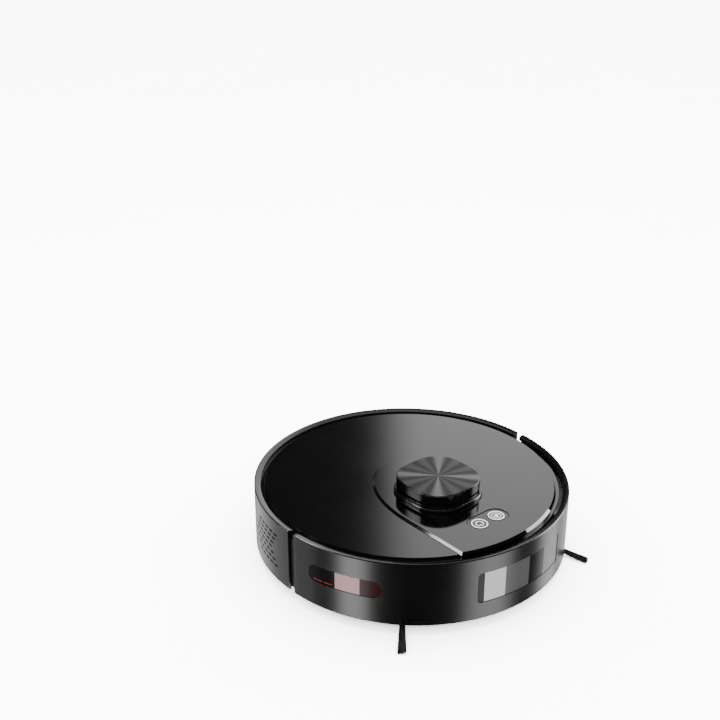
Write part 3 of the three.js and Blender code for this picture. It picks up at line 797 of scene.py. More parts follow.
class ROBOTVAC_OT_bumper(bpy.types.Operator):
    """Builds the bumper with the front half of the rim and its two window openings"""
    bl_idname = "robotvac.bumper"
    bl_label = "Bumper"

    def execute(self, context):
        shell = settings(context, "shell")
        outer, inner = SHELL_RADIUS, SHELL_RADIUS - shell.wall
        profile = [(LIP_RADIUS, WALL_LOW), (outer - shell.edge, WALL_LOW), (outer, WALL_LOW + 1),
                   (outer, RIM_TOP - shell.edge), (outer - shell.edge, RIM_TOP),
                   (outer - shell.rim, RIM_TOP - shell.slope),
                   (outer - shell.rim, shell.trough), (inner, 74), (inner, LIP_TOP), (LIP_RADIUS, LIP_TOP)]
        mesh = turned(profile, (BUMPER_X, 0), shell.sides)
        keep_below(mesh, (BUMPER_LOW.x, 0, 0), (-1, 0, 0))
        item = as_object("bumper_wall", mesh)
        cut(item, *[window_block(node, GAP) for node in WINDOWS])
        finish_round(item, BUMPER_X, outer, 0.3, 3)
        dress(item, "bumper_frame", "shell_black", shell_black(context), "bumper")
        return {"FINISHED"}


# Each window: the bearing of its middle and the radius of its corners.
WINDOWS = {
    "front_window": {"bearing": 0.0, "corner": 4.0},
    "side_window": {"bearing": math.radians(-66), "corner": 9.4},
}


def window_block(node, grow):
    """An upright rounded block through the bumper's wall, along the window's bearing."""
    low, high = span(node)
    bearing = WINDOWS[node]["bearing"]
    out = Vector((math.cos(bearing), math.sin(bearing), 0))
    across = Vector((-out.y, out.x, 0))
    centre = Vector((BUMPER_X, 0, 0))
    reach = [(vert.co / MM - centre).dot(across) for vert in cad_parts[node].data.vertices]
    half_width = (max(reach) - min(reach)) / 2 + grow
    half_height = (high.z - low.z) / 2 + grow
    shape = prism(rounded_rectangle(half_width, half_height, WINDOWS[node]["corner"]), 120, 190)
    upright = Matrix(((0, 0, 1, 0), (1, 0, 0, 0), (0, 1, 0, 0), (0, 0, 0, 1)))
    return moved(shape, turn_z(bearing, (BUMPER_X, 0, (low.z + high.z) / 2)) @ upright)


class ROBOTVAC_OT_sensor_windows(bpy.types.Operator):
    """Builds the front and side sensor windows"""
    bl_idname = "robotvac.sensor_windows"
    bl_label = "Sensor Windows"

    def execute(self, context):
        shell = settings(context, "shell")
        pane_colours_and_reflections = {
            # Front window: the white and grey bands are painted reflections, the black ones its masks.
            "front_window": sensor_pane(
                "front_pane", 0.0, math.radians(20),
                [(0.0, (0.003, 0.003, 0.003)), (0.055, (0.8, 0.8, 0.8)), (0.265, (0.12, 0.12, 0.124)),
                 (0.535, (0.003, 0.003, 0.003)), (0.735, (0.17, 0.17, 0.175)), (0.94, (0.30, 0.30, 0.31)),
                 (0.955, (0.17, 0.17, 0.175))], 0.2),
            # Side window: the pale red band in its middle is a painted reflection, its ends are dark.
            "side_window": sensor_pane(
                "side_pane", math.radians(-66), math.radians(13.6),
                [(0.0, (0.003, 0.002, 0.002)), (0.39, (0.62, 0.38, 0.38)), (0.72, (0.03, 0.005, 0.007))],
                                       0.2),
        }
        face = SHELL_RADIUS - PANE_DEPTH
        for node, material in pane_colours_and_reflections.items():
            pane = tube(SHELL_RADIUS - shell.wall + 0.2, face, 0, 100, (BUMPER_X, 0), shell.sides)
            item = as_object(node + "_pane", pane)
            cut(item, window_block(node, 0), operation="INTERSECT")
            finish_round(item, BUMPER_X, face, 0.25)
            slot = "window_clear" if node == "front_window" else "window_red"
            dress(item, "bumper_frame", slot, material, node)
        self.light_strip()
        return {"FINISHED"}

    def light_strip(self):
        """A thin red strip along the foot of the side window's dark end, broken once."""
        low, high = span("side_window")
        foot = low.z + 2.4
        section = [(SHELL_RADIUS - 0.7, foot), (SHELL_RADIUS - 0.42, foot),
                   (SHELL_RADIUS - 0.42, foot + 0.8),
                   (SHELL_RADIUS - 0.7, foot + 0.8)]
        parts = []
        for first, last in ((-77.6, -74.0), (-73.2, -70.2)):
            part = turned(section, (0, 0), 12, angle=math.radians(last - first))
            parts.append(moved(part, turn_z(math.radians(first), (BUMPER_X, 0, 0))))
        red = moulded("red_strip", (0.55, 0.008, 0.014), 0.3, spread=0.05, bump=0.01,
                      worn=(0.5, 0.05, 0.05),
                      mottle=0.02, dust=0.0)
        piece("side_window_strip", joined(*parts), "bumper_frame", "window_red", red, edge=0)


class ROBOTVAC_OT_top_deck(bpy.types.Operator):
    """Builds the polished deck with its sloping edge and trough"""
    bl_idname = "robotvac.top_deck"
    bl_label = "Top Deck"

    def execute(self, context):
        shell = settings(context, "shell")
        thickness = shell.trough - DECK_LOW.z
        low = DECK_TOP - thickness
        profile = [(0, low), (shell.flat - 3.5, low), (shell.flat + 1, DECK_LOW.z),
                   (DECK_RADIUS, DECK_LOW.z),
                   (DECK_RADIUS, shell.trough), (shell.flat + 2, shell.trough), (shell.flat, DECK_TOP),
                   (0, DECK_TOP)]
        item = as_object("deck_cover", turned(profile, (SHELL_X, 0), shell.sides, closed=False))
        cutters = [cylinder(TURRET_HOLE, *COVER_CUT, (TURRET.x, 0))]
        for node in ("button_power", "button_home"):
            place = middle(node)
            cutters.append(cylinder(BUTTON_HOLE, *COVER_CUT, (place.x, place.y), 48))
        cut(item, *cutters)
        finish(item, "body", "deck_gloss", deck_gloss(context), "top_deck", edge=0.5, segments=3)
        return {"FINISHED"}


class ROBOTVAC_OT_raised_panel(bpy.types.Operator):
    """Builds the raised panel that carries the turret and the buttons"""
    bl_idname = "robotvac.raised_panel"
    bl_label = "Raised Panel"

    def execute(self, context):
        shell = settings(context, "shell")
        mesh = prism(panel_outline(shell.shoulder), 60, PANEL_HIGH.z)
        bevel(mesh, edges_at(mesh, PANEL_HIGH.z), shell.chamfer)
        item = as_object("raised_panel", mesh)
        under = turned([(0, 0), (220, 0), (220, shell.trough + GAP),
                        (shell.flat + 2 + GAP, shell.trough + GAP),
                        (shell.flat + GAP, DECK_TOP + GAP), (0, DECK_TOP + GAP)], (SHELL_X, 0), 192,
                       closed=False)
        hole = cylinder(TURRET_HOLE, *COVER_CUT, (TURRET.x, 0))
        half, centre = half_size("button_bezel"), middle("button_bezel")
        recess = prism(rounded_rectangle(half.x + GAP, half.y + GAP, half.x + GAP - 0.1, 12, (centre.x, 0)),
                       *COVER_CUT)
        cut(item, under, hole, recess)
        finish(item, "body", "deck_gloss", panel_gloss(context), "deck_insert", edge=0.1, segments=1)
        item.data.materials.append(polished_edge(context))
        for face in item.data.polygons:
            if 0.3 < face.normal.z < 0.95 and face.center.z > DECK_TOP * MM:
                face.material_index = 1
        return {"FINISHED"}


class ROBOTVAC_OT_buttons(bpy.types.Operator):
    """Builds the sunk plate, the two buttons and their printed rings and icons"""
    bl_idname = "robotvac.buttons"
    bl_label = "Buttons"

    def execute(self, context):
        low, high = span("button_bezel")
        half = (high - low) / 2
        centre = middle("button_bezel")
        item = as_object("button_plate", prism(rounded_rectangle(half.x, half.y, half.x - 0.1, 12,
                                                                 (centre.x, 0)),
                                               low.z, high.z))
        holes = []
        for node in ("button_power", "button_home"):
            place = middle(node)
            radius = span(node)[1].y - place.y + GAP
            holes.append(cylinder(radius, *COVER_CUT, (place.x, place.y), 64))
        cut(item, *holes)
        finish(item, "body", "bezel_grey", piano_black(), "button_bezel", edge=0.2)
        for node, body, icon in (("button_power", "power_key", self.power),
                                 ("button_home", "home_key", self.home)):
            self.button(node, body, icon)
        return {"FINISHED"}

    def button(self, node, body, icon):
        low, high = span(node)
        place = middle(node)
        radius = high.y - place.y
        top = high.z - 0.06
        profile = [(0, low.z), (radius - 1.5, low.z), (radius, low.z + 1), (radius, top - 0.3),
                   (radius - 0.3, top),
                   (radius - 2.2, top - 0.15), (0, top - 0.15)]
        cap = turned(profile, (place.x, place.y), 96, closed=False)
        piece(node + "_cap", cap, body, "button_white", piano_black(), node, edge=0.1)
        base = top - 0.2
        outer = tube(radius - 1.7, radius - 0.35, base, high.z, (place.x, place.y), 96)
        marks = joined(outer, *icon(place, base, high.z - 0.06))
        piece(node + "_marks", marks, body, "button_white", white_print(), edge=0)

    def power(self, place, low, high):
        """A broken ring with a stroke at its opening."""
        gap = math.radians(32)
        arc = tube(3.6, 4.6, low, high, (0, 0), 48, angle=FULL_TURN - 2 * gap)
        moved(arc, turn_z(gap, (place.x, place.y, 0)))
        stroke = block((place.x + 1.4, place.x + 5.2), (place.y - 0.5, place.y + 0.5), (low, high))
        return [arc, stroke]

    def home(self, place, low, high):
        """A ring with a small house in it."""
        ring = tube(4.6, 5.5, low, high, (place.x, place.y), 64)
        house = [(3.0, 0), (0.6, -2.9), (0.6, -2.0), (-2.2, -2.0), (-2.2, -0.6), (-0.8, -0.6), (-0.8, 0.6),
                 (-2.2, 0.6),
                 (-2.2, 2.0), (0.6, 2.0), (0.6, 2.9)]
        return [ring, prism([(place.x + x, place.y + y) for x, y in house], low, high)]


class ROBOTVAC_OT_turret(bpy.types.Operator):
    """Builds the laser turret: skirt, corner posts, cap, brushed plate with painted reflections, rotor and
    lens
    """
    bl_idname = "robotvac.turret"
    bl_label = "Laser Turret"

    def execute(self, context):
        turret = settings(context, "turret")
        self.skirt(turret)
        self.posts(turret)
        self.cap(context, turret)
        self.rotor()
        return {"FINISHED"}

    def skirt(self, turret):
        low, high = span("lidar_base")
        half = (high.y - low.y) / 2
        mesh = prism(squircle(half, turret.squareness), low.z, high.z)
        bevel(mesh, edges_at(mesh, high.z), 2.0, 6)
        item = as_object("turret_skirt", mesh)
        cut(item, cylinder(TURRET_BORE, *TURRET_CUT, (TURRET.x, 0)))
        finish(item, "body", "shell_black", piano_black(), "lidar_base", edge=0.15)

    def posts(self, turret):
        low, high = span("lidar_guard")
        half = (high.y - low.y) / 2
        item = as_object("turret_frame", prism(squircle(half, turret.squareness), low.z, low.z + 1.2))
        cut(item, cylinder(TURRET_BORE, *TURRET_CUT, (TURRET.x, 0)))
        foot = span("lidar_base")[0].z
        corner = [(40.6, foot), (47.6, foot), (47.0, foot + 1.6), (45.6, foot + 3.4), (44.6, high.z - 1.2),
                  (44.6, high.z), (40.6, high.z)]
        meshes = []
        for quarter in range(4):
            post = turned(corner, (0, 0), 12, angle=math.radians(20))
            meshes.append(moved(post, turn_z(math.radians(45 - 10 + 90 * quarter), (TURRET.x, 0, 0))))
        posts = as_object("turret_posts", joined(*meshes))
        for part in (item, posts):
            finish(part, "body", "shell_black", piano_black(), "lidar_guard", edge=0.15)

    def cap(self, context, turret):
        half = CAP_HIGH.y
        plate = 0.5
        mesh = prism(squircle(half, turret.squareness), CAP_LOW.z, CAP_HIGH.z - plate)
        item = as_object("turret_cap", mesh)
        finish(item, "body", "turret_metal", piano_black(), "lidar_cap", edge=turret.cap_edge, segments=3)
        top = prism(squircle(half - 0.9, turret.squareness), CAP_HIGH.z - plate - 0.2, CAP_HIGH.z)
        # The plate carries the brushed metal and its painted reflections.
        piece("turret_plate", top, "body", "turret_metal", brushed_cap_painted_rays(context), edge=0.25)

    def rotor(self):
        low, high = span("lidar_rotor")
        profile = [(0, low.z), (6, low.z), (6, low.z + 3), (28.2, low.z + 3), (29, low.z + 3.6),
                   (29, low.z + 5),
                   (25.8, low.z + 5.6), (25, low.z + 6.4), (25, high.z - 1), (24, high.z), (0, high.z)]
        drum = turned(profile, (TURRET.x, 0), 128, closed=False)
        piece("laser_rotor", drum, "lidar_spinner", "dark_plastic", dark_plastic(), "lidar_rotor",
              edge=0.15)
        low, high = span("lidar_lens")
        band = tube(25.3, 26.5, low.z, high.z, (0, 0), 48, angle=math.radians(110))
        moved(band, turn_z(math.radians(-55), (TURRET.x, 0, 0)))
        lens = moulded("laser_lens_glass", (0.02, 0.004, 0.006), 0.05, spread=0.02, bump=0.0, coat=1.0,
                       dust=0.0,
                       worn=(0.06, 0.02, 0.02))
        piece("laser_lens", band, "lidar_spinner", "lens_dark", lens, "lidar_lens", edge=0.15)


# ---- Operators: underside ----------------------------------------------------------------------
def screw_head(place, radius=2.9):
    """A domed head with a cross-shaped recess, facing down."""
    x, y, z = place
    profile = [(0, 0), (radius, 0), (radius, -0.7), (radius * 0.72, -1.35), (0, -1.6)]
    head = as_object("screw", turned(profile, (0, 0), 24, closed=False))
    cut(head, block((-1.7, 1.7), (-0.4, 0.4), (-3, -0.6)), block((-0.4, 0.4), (-1.7, 1.7), (-3, -0.6)))
    mesh = bmesh.new()
    mesh.from_mesh(head.data)
    bpy.data.objects.remove(head)
    return moved(moved(mesh, Matrix.Scale(1 / MM, 4)), Matrix.Translation((x, y, z)))


class ROBOTVAC_OT_base_plate(bpy.types.Operator):
    """Builds the base plate with its bays, the battery door and the screws"""
    bl_idname = "robotvac.base_plate"
    bl_label = "Base Plate"

    def execute(self, context):
        self.plate(context)
        self.battery_door()
        self.screws()
        return {"FINISHED"}

    def plate(self, context):
        front, rear, top = 163.0, SHELL_RADIUS - 3.0, 14.0
        low = WALL_LOW
        plate = turned([(0, low), (front - 2.5, low), (front, low + 2), (front, top), (0, top)],
                       (SHELL_X, 0), 192,
                       closed=False)
        keep_below(plate, (0, 0, 0), (-1, 0, 0))
        back = turned([(0, low), (rear - 2, low), (rear, low + 2), (rear, top), (0, top)], (SHELL_X, 0),
                      192,
                      closed=False)
        keep_below(back, (0, 0, 0), (1, 0, 0))
        item = as_object("base_plate", plate)
        cut(item, *self.bays())
        rear_item = as_object("base_plate_rear", back)
        cut(rear_item, *self.bays())
        wall = tube(158.5, 161, top - 1, 72, (SHELL_X, 0), 192)
        keep_below(wall, (5, 0, 0), (-1, 0, 0))
        wall_item = as_object("inner_front_wall", wall)
        backing = tube(165.8, 168.2, top - 1, 70.9, (SHELL_X, 0), 192)
        keep_below(backing, (25, 0, 0), (1, 0, 0))
        keep_below(backing, (-12, 0, 0), (-1, 0, 0))
        backing_item = as_object("side_gap_backing", backing)
        for part in (item, rear_item, wall_item, backing_item):
            finish(part, "body", "base_black", base_black(), "chassis", edge=0.3)

    def bays(self):
        """Openings for the wheels, brushes, caster, battery and sensors."""
        made = [block((-70, -20), (-84, 84), BASE_CUT, 0.5)]
        low, high = span("battery_door")
        made.append(block((low.x - GAP, high.x + GAP), (low.y - GAP, high.y + GAP), BASE_CUT))
        caster = middle("caster_socket")
        made.append(cylinder(18.5, *BASE_CUT, (caster.x, 0), 64))
        for side, sign in (("left", 1), ("right", -1)):
            hub = middle("side_brush_motor_" + side)
            made.append(cylinder(5, *BASE_CUT, (hub.x, hub.y), 32))
            tyre_bay = sorted((sign * 105, sign * 133))
            arm_bay = sorted((sign * 88, sign * 106))
            made.append(block((-46.5, 50.5), tyre_bay, BASE_CUT))
            made.append(block((-12, 50.5), arm_bay, BASE_CUT))
        for name in ("front", "left", "right"):
            half, centre = half_size("cliff_sensor_" + name), middle("cliff_sensor_" + name)
            outline = rounded_rectangle(half.x + GAP, half.y + GAP, 2, 4, (centre.x, centre.y))
            made.append(prism(outline, *BASE_CUT))
        return made

    def battery_door(self):
        low, high = span("battery_door")
        half, centre = (high - low) / 2, (low + high) / 2
        mesh = prism(rounded_rectangle(half.x, half.y, 3, 8, (centre.x, centre.y)), low.z, high.z)
        item = as_object("battery_cover", mesh)
        grooves = [block((centre.x - 12, centre.x + 12), (y - 0.6, y + 0.6), (0, low.z + 0.8))
                   for y in range(-24, 25, 6)]
        cut(item, joined(*grooves))
        finish(item, "body", "base_black", base_black(), "battery_door", edge=0.25)

    def screws(self):
        places = [(120, 62), (120, -62), (34, 78), (34, -78), (-84, 60), (-84, -60), (-120, 92),
                  (-120, -92),
                  (-146, 30), (-146, -30), (76, 67), (76, -67)]
        heads = [screw_head((x, y, WALL_LOW - 0.02)) for x, y in places]
        piece("base_screws", joined(*heads), "body", "steel", plain_steel(), edge=0)


def bristle(mesh, points, radius):
    """One strand: a four-sided ring drawn along its points and thinned to its tip."""
    start, finish = Vector(points[0]), Vector(points[-1])
    turn = (finish - start).to_track_quat("Z", "Y").to_matrix().to_4x4()
    ring = bmesh.ops.create_circle(mesh, cap_ends=False, radius=radius, segments=4,
                                   matrix=Matrix.Translation(start) @ turn)["verts"]
    edges = list({edge for vert in ring for edge in vert.link_edges})
    bmesh.ops.contextual_create(mesh, geom=edges)
    for here, there in zip(points, points[1:]):
        made = bmesh.ops.extrude_edge_only(mesh, edges=edges)["geom"]
        ring = [item for item in made if isinstance(item, bmesh.types.BMVert)]
        edges = [item for item in made if isinstance(item, bmesh.types.BMEdge)
                 and all(vert in ring for vert in item.verts)]
        bmesh.ops.translate(mesh, verts=ring, vec=Vector(there) - Vector(here))
    bmesh.ops.contextual_create(mesh, geom=edges)


class ROBOTVAC_OT_side_brushes(bpy.types.Operator):
    """Builds the two corner brushes with their bristle bundles"""
    bl_idname = "robotvac.side_brushes"
    bl_label = "Side Brushes"

    def execute(self, context):
        brush = settings(context, "brush")
        bundle = self.bundle(brush)
        for side, first in (("left", 17.0), ("right", -42.5)):
            motor = middle("side_brush_motor_" + side)
            low, high = span("side_brush_" + side)
            place = (motor.x, motor.y, 0)
            hub = turned([(0, 6.5), (6, 6.5), (8.6, 7.4), (9.5, 8.8), (9.5, 10.4), (3, 10.4), (3, high.z),
                          (0, high.z)],
                         (0, 0), 64, closed=False)
            sleeves = []
            for arm in range(3):
                sleeve = block((5, 21), (-3.6, 3.6), (6.7, 10.1), 1.2, 3)
                bmesh.ops.rotate(sleeve, cent=(5, 0, 8.4), verts=sleeve.verts,
                                 matrix=Matrix.Rotation(math.radians(6), 3, "Y"))
                sleeves.append(moved(sleeve, turn_z(math.radians(first + 120 * arm))))
            head = moved(joined(hub, *sleeves), Matrix.Translation(place))
            piece(f"side_brush_hub_{side}", head, f"sweeper_{side}", "bristle", dark_plastic(),
                  f"side_brush_{side}", edge=0.2)
            arms = [moved(bundle.copy(), turn_z(math.radians(first + 120 * arm))) for arm in range(3)]
            piece(f"side_brush_bristles_{side}", moved(joined(*arms), Matrix.Translation(place)),
                  f"sweeper_{side}", "bristle", nylon_black(), f"side_brush_{side}", edge=0)
        bundle.free()
        return {"FINISHED"}

    def bundle(self, brush):
        """A flat bundle along +X that leaves its sleeve, fans out and droops to just above the floor."""
        mesh = bmesh.new()
        spread = random.Random(brush.seed)
        for _ in range(brush.strands):
            across, up = spread.uniform(-1, 1), spread.uniform(-1, 1)
            length = brush.reach - spread.uniform(0, 3.5)
            points = []
            for step in range(6):
                t = step / 5
                x = 18 + (length - 18) * t
                half = 2.6 + (brush.tuft / 2 - 2.6) * t
                z = 7.9 - 5.6 * t - 0.6 * math.sin(math.pi * t) + up * (1.1 + 0.4 * t)
                points.append(Vector((x, across * half, max(z, 0.9))))
            bristle(mesh, points, 0.34)
        bmesh.ops.recalc_face_normals(mesh, faces=mesh.faces)
        return mesh


class ROBOTVAC_OT_roller(bpy.types.Operator):
    """Builds the roller brush and the guard that holds it in"""
    bl_idname = "robotvac.roller"
    bl_label = "Roller Brush"

    def execute(self, context):
        self.core()
        self.blades(context)
        self.guard()
        return {"FINISHED"}

    def core(self):
        low, high = span("roller_core")
        place = middle("roller_fins")
        ends = 81.5
        profile = [(0, low.y), (4, low.y), (4, -ends), (8, -ends), (8.5, -ends + 0.6), (8.5, ends - 0.6),
                   (8, ends),
                   (4, ends), (4, high.y), (0, high.y)]
        shaft = moved(turned(profile, (0, 0), 48, closed=False), lay_along_y((place.x, 0, place.z)))
        piece("roller_shaft", shaft, "main_roller", "dark_plastic", dark_plastic(), "roller_core", edge=0.2)

    def blades(self, context):
        """Three rubber blades and three rows of bristles in a V, with grooves for the guard's bars."""
        brush = settings(context, "brush")
        low, high = span("roller_fins")
        radius = (high.x - low.x) / 2
        end = high.y
        place = Matrix.Translation((middle("roller_fins").x, 0, middle("roller_fins").z))
        sleeve = tube(8.8, 10.5, -end, end, (0, 0), 64)
        rubber = [moved(sleeve, lay_along_y((0, 0, 0)))]
        for number in range(3):
            for sign in (1, -1):
                for start, stop in ((0.2, 24), (30, end)):
                    rubber.append(self.blade(math.radians(120 * number), sign, start, stop, radius,
                                             brush.twist / end))
        mesh = moved(joined(*rubber), place)
        piece("roller_blades", mesh, "main_roller", "roller_rubber", soft_rubber(), "roller_fins", edge=0.2)
        tuft = self.tuft(brush, radius)
        tufts = []
        for number in range(3):
            for sign in (1, -1):
                for step in range(23):
                    y = 2 + step * 3.4
                    if 22.5 < y < 31.5:
                        continue
                    bearing = math.radians(60 + 120 * number) + y * brush.twist / end
                    turn = Matrix.Translation((0, sign * y, 0)) @ Matrix.Rotation(-bearing, 4, "Y")
                    tufts.append(moved(tuft.copy(), turn))
        tuft.free()
        piece("roller_bristles", moved(joined(*tufts), place), "main_roller", "roller_rubber",
              nylon_black(), edge=0)

    def tuft(self, brush, radius):
        """A round tuft of bristles that stands out along +X and spreads a little."""
        mesh = bmesh.new()
        spread = random.Random(brush.seed + 1)
        for _ in range(14):
            bearing, out = spread.uniform(0, FULL_TURN), spread.uniform(0.2, 1.0)
            root = Vector((10, out * math.cos(bearing), out * math.sin(bearing)))
            tip = Vector((radius - spread.uniform(0.2, 1.2), root.y * 1.7, root.z * 1.7))
            bristle(mesh, [root, (root + tip) / 2, tip], 0.22)
        bmesh.ops.recalc_face_normals(mesh, faces=mesh.faces)
        return mesh

    def blade(self, bearing, sign, start, stop, radius, turn_per_mm):
        """One stretch of a twisted blade, screwed along the roller's axis."""
        mesh = bmesh.new()
        section = [(9.8, -1.3), (12, -0.9), (radius - 1, -0.7), (radius - 0.1, 0), (radius - 1, 0.7),
                   (12, 0.9), (9.8, 1.3)]
        turn = Matrix.Rotation(-(bearing + start * turn_per_mm), 4, "Y")
        verts = [mesh.verts.new(turn @ Vector((x, sign * start, z))) for x, z in section]
        face = mesh.faces.new(verts)
        steps = max(4, int((stop - start) / 3))
        bmesh.ops.spin(mesh, geom=[face], cent=(0, 0, 0), axis=(0, 1, 0),
                       angle=-(stop - start) * turn_per_mm,
                       dvec=(0, sign * (stop - start) / steps, 0), steps=steps, use_merge=False)
        bmesh.ops.recalc_face_normals(mesh, faces=mesh.faces)
        return mesh

    def guard(self):
        low, high = span("brush_guard")
        half, centre = (high - low) / 2, (low + high) / 2
        top = WALL_LOW - 0.3
        frame_mesh = prism(rounded_rectangle(half.x, half.y, 6, 8, (centre.x, 0)), low.z, top)
        item = as_object("brush_guard_frame", frame_mesh)
        openings = []
        for start, stop in ((-82, -28.5), (-25.5, 25.5), (28.5, 82)):
            opening = prism(rounded_rectangle(17, (stop - start) / 2, 2, 5, (centre.x, (start + stop) / 2)),
                            0, 30)
            openings.append(opening)
        cut(item, *openings)
        tabs = []
        for sign in (1, -1):
            y = sorted((sign * 55, sign * 67))
            tabs.append(block((-22.8, -20.3), y, (top - 1.5, high.z), 0.4))
            grip = sorted((sign * 52, sign * 70))
            for step in range(4):
                tabs.append(block((-19.4 + 1.6 * step, -18.8 + 1.6 * step), grip,
                                  (low.z - 0.5, low.z + 0.4), 0.15, 1))
        piece("brush_guard_tabs", joined(*tabs), "roller_guard", "dark_plastic", dark_plastic(), edge=0)
        finish(item, "roller_guard", "dark_plastic", dark_plastic(), "brush_guard", edge=0.5, segments=3)
        lip = block((-64.6, -62.6), (-80, 80), (5.5, low.z + 1), 0.4)
        piece("brush_guard_wiper", lip, "roller_guard", "dark_plastic", soft_rubber(), edge=0)


class ROBOTVAC_OT_drive_wheels(bpy.types.Operator):
    """Builds the two drive wheels with their treaded tyres"""
    bl_idname = "robotvac.drive_wheels"
    bl_label = "Drive Wheels"

    def execute(self, context):
        wheel = settings(context, "wheel")
        for side, sign in (("left", 1), ("right", -1)):
            low, high = span("tyre_" + side)
            centre = (low + high) / 2
            radius, half = (high.z - low.z) / 2, (high.y - low.y) / 2
            place = lay_along_y(centre)
            self.tyre(wheel, side, place, radius, half)
            self.hub(side, sign, centre)
            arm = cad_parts["wheel_arm_" + side]
            arm.data.materials.clear()
            arm.data.materials.append(dark_plastic())
        return {"FINISHED"}

    def tyre(self, wheel, side, place, radius, half):
        bare = radius - wheel.lug_height
        profile = [(27.7, -half), (bare - 2.6, -half), (bare, -half + 2.4), (bare, half - 2.4),
                   (bare - 2.6, half),
                   (27.7, half)]
        parts = [turned(profile, (0, 0), 160)]
        for number in range(wheel.lugs):
            for row in (1, -1):
                lug = block((bare - 0.8, radius - 0.35), (-1.35, 1.35), (0.7, half - 2.6), 0.3, 1)
                slant = Matrix.Rotation(math.radians(24), 4, "X")
                flip = Matrix.Diagonal((1, 1, row, 1))
                moved(lug, flip @ slant)
                if row < 0:
                    bmesh.ops.reverse_faces(lug, faces=lug.faces)
                bearing = FULL_TURN * (number + (0.25 if row > 0 else 0.75)) / wheel.lugs
                parts.append(moved(lug, turn_z(bearing)))
        rubber = soft_rubber("tread_rubber", (0.014, 0.014, 0.015))
        piece("tread_" + side, moved(joined(*parts), place), "wheel_" + side, "tyre_rubber", rubber,
              "tyre_" + side, edge=0.15)

    def hub(self, side, sign, centre):
        inner = -27.0
        profile = [(0, inner), (3.5, inner), (3.5, -9.5), (27.4, -9.5), (27.4, 9.5), (24, 9.5), (23, 5),
                   (9, 5),
                   (8, 9.2), (0, 9.2)]
        mesh = turned(profile, (0, 0), 96, closed=False)
        ribs = []
        for number in range(6):
            rib = block((8.5, 23.6), (-1.4, 1.4), (4, 8.2), 0.4, 2)
            ribs.append(moved(rib, turn_z(FULL_TURN * number / 6)))
        mesh = joined(mesh, *ribs)
        if sign < 0:
            moved(mesh, Matrix.Rotation(math.pi, 4, "X"))
        moved(mesh, lay_along_y(centre))
        piece("hub_" + side, mesh, "wheel_" + side, "dark_plastic", dark_plastic(), "wheel_hub_" + side,
              edge=0.3)


class ROBOTVAC_OT_caster(bpy.types.Operator):
    """Builds the caster's fork, socket and two-tone wheel"""
    bl_idname = "robotvac.caster"
    bl_label = "Caster"

    def execute(self, context):
        low, high = span("caster_wheel")
        centre = (low + high) / 2
        radius = (high.z - low.z) / 2
        profile = [(0, -10.2), (1.8, -10.2), (1.8, -7), (radius - 3, -7), (radius - 0.9, -6), (radius, -4),
                   (radius, 4), (radius - 0.9, 6), (radius - 3, 7), (1.8, 7), (1.8, 10.2), (0, 10.2)]
        mesh = moved(turned(profile, (0, 0), 96, closed=False), lay_along_y(centre))
        piece("caster_roller", mesh, "caster_roll", "caster_white", self.two_tone(centre), "caster_wheel",
              edge=0.2)
        socket = middle("caster_socket")
        low, high = span("caster_fork")
        stem = [(0, 24.5), (15, 24.5), (16, 25.6), (16, 28), (4, 28), (4, high.z), (0, high.z)]
        fork = turned(stem, (0, 0), 96, closed=False)
        cheeks = []
        for sign in (1, -1):
            y = sorted((sign * 7.7, sign * 10.4))
            cheeks.append(block((-8.5, 0.5), y, (low.z, 25), 1.2, 4))
        item = as_object("caster_yoke", moved(joined(fork, *cheeks), Matrix.Translation((socket.x, 0, 0))))
        bore = moved(cylinder(2.1, -20, 20, (0, 0), 32), lay_along_y(centre))
        cut(item, bore)
        finish(item, "caster_swivel", "dark_plastic", dark_plastic(), "caster_fork", edge=0.25)
        return {"FINISHED"}

    def two_tone(self, centre):
        """Half pale and half dark, so that an eye inside can count its turns."""
        material, tree, shader = blank_material("caster_two_tone")
        parts = tree.nodes.new("ShaderNodeSeparateXYZ")
        tree.links.new(object_place(tree, centre), parts.inputs[0])
        half = math_node(tree, "GREATER_THAN", parts.outputs["X"], 0.0)
        colour = mix_colour(tree, half, (0.5, 0.5, 0.51), (0.02, 0.02, 0.021))
        worn = put_group(tree, "Edge wear", {"Colour": colour, "Worn": (0.3, 0.3, 0.3), "Amount": 0.5,
                                             "Mottle": 0.1})
        surface = put_group(tree, "Moulded grain", {"Grain scale": 900.0, "Roughness": 0.4, "Spread": 0.15})
        tree.links.new(worn.outputs["Colour"], shader.inputs["Base Color"])
        tree.links.new(surface.outputs["Roughness"], shader.inputs["Roughness"])
        return material


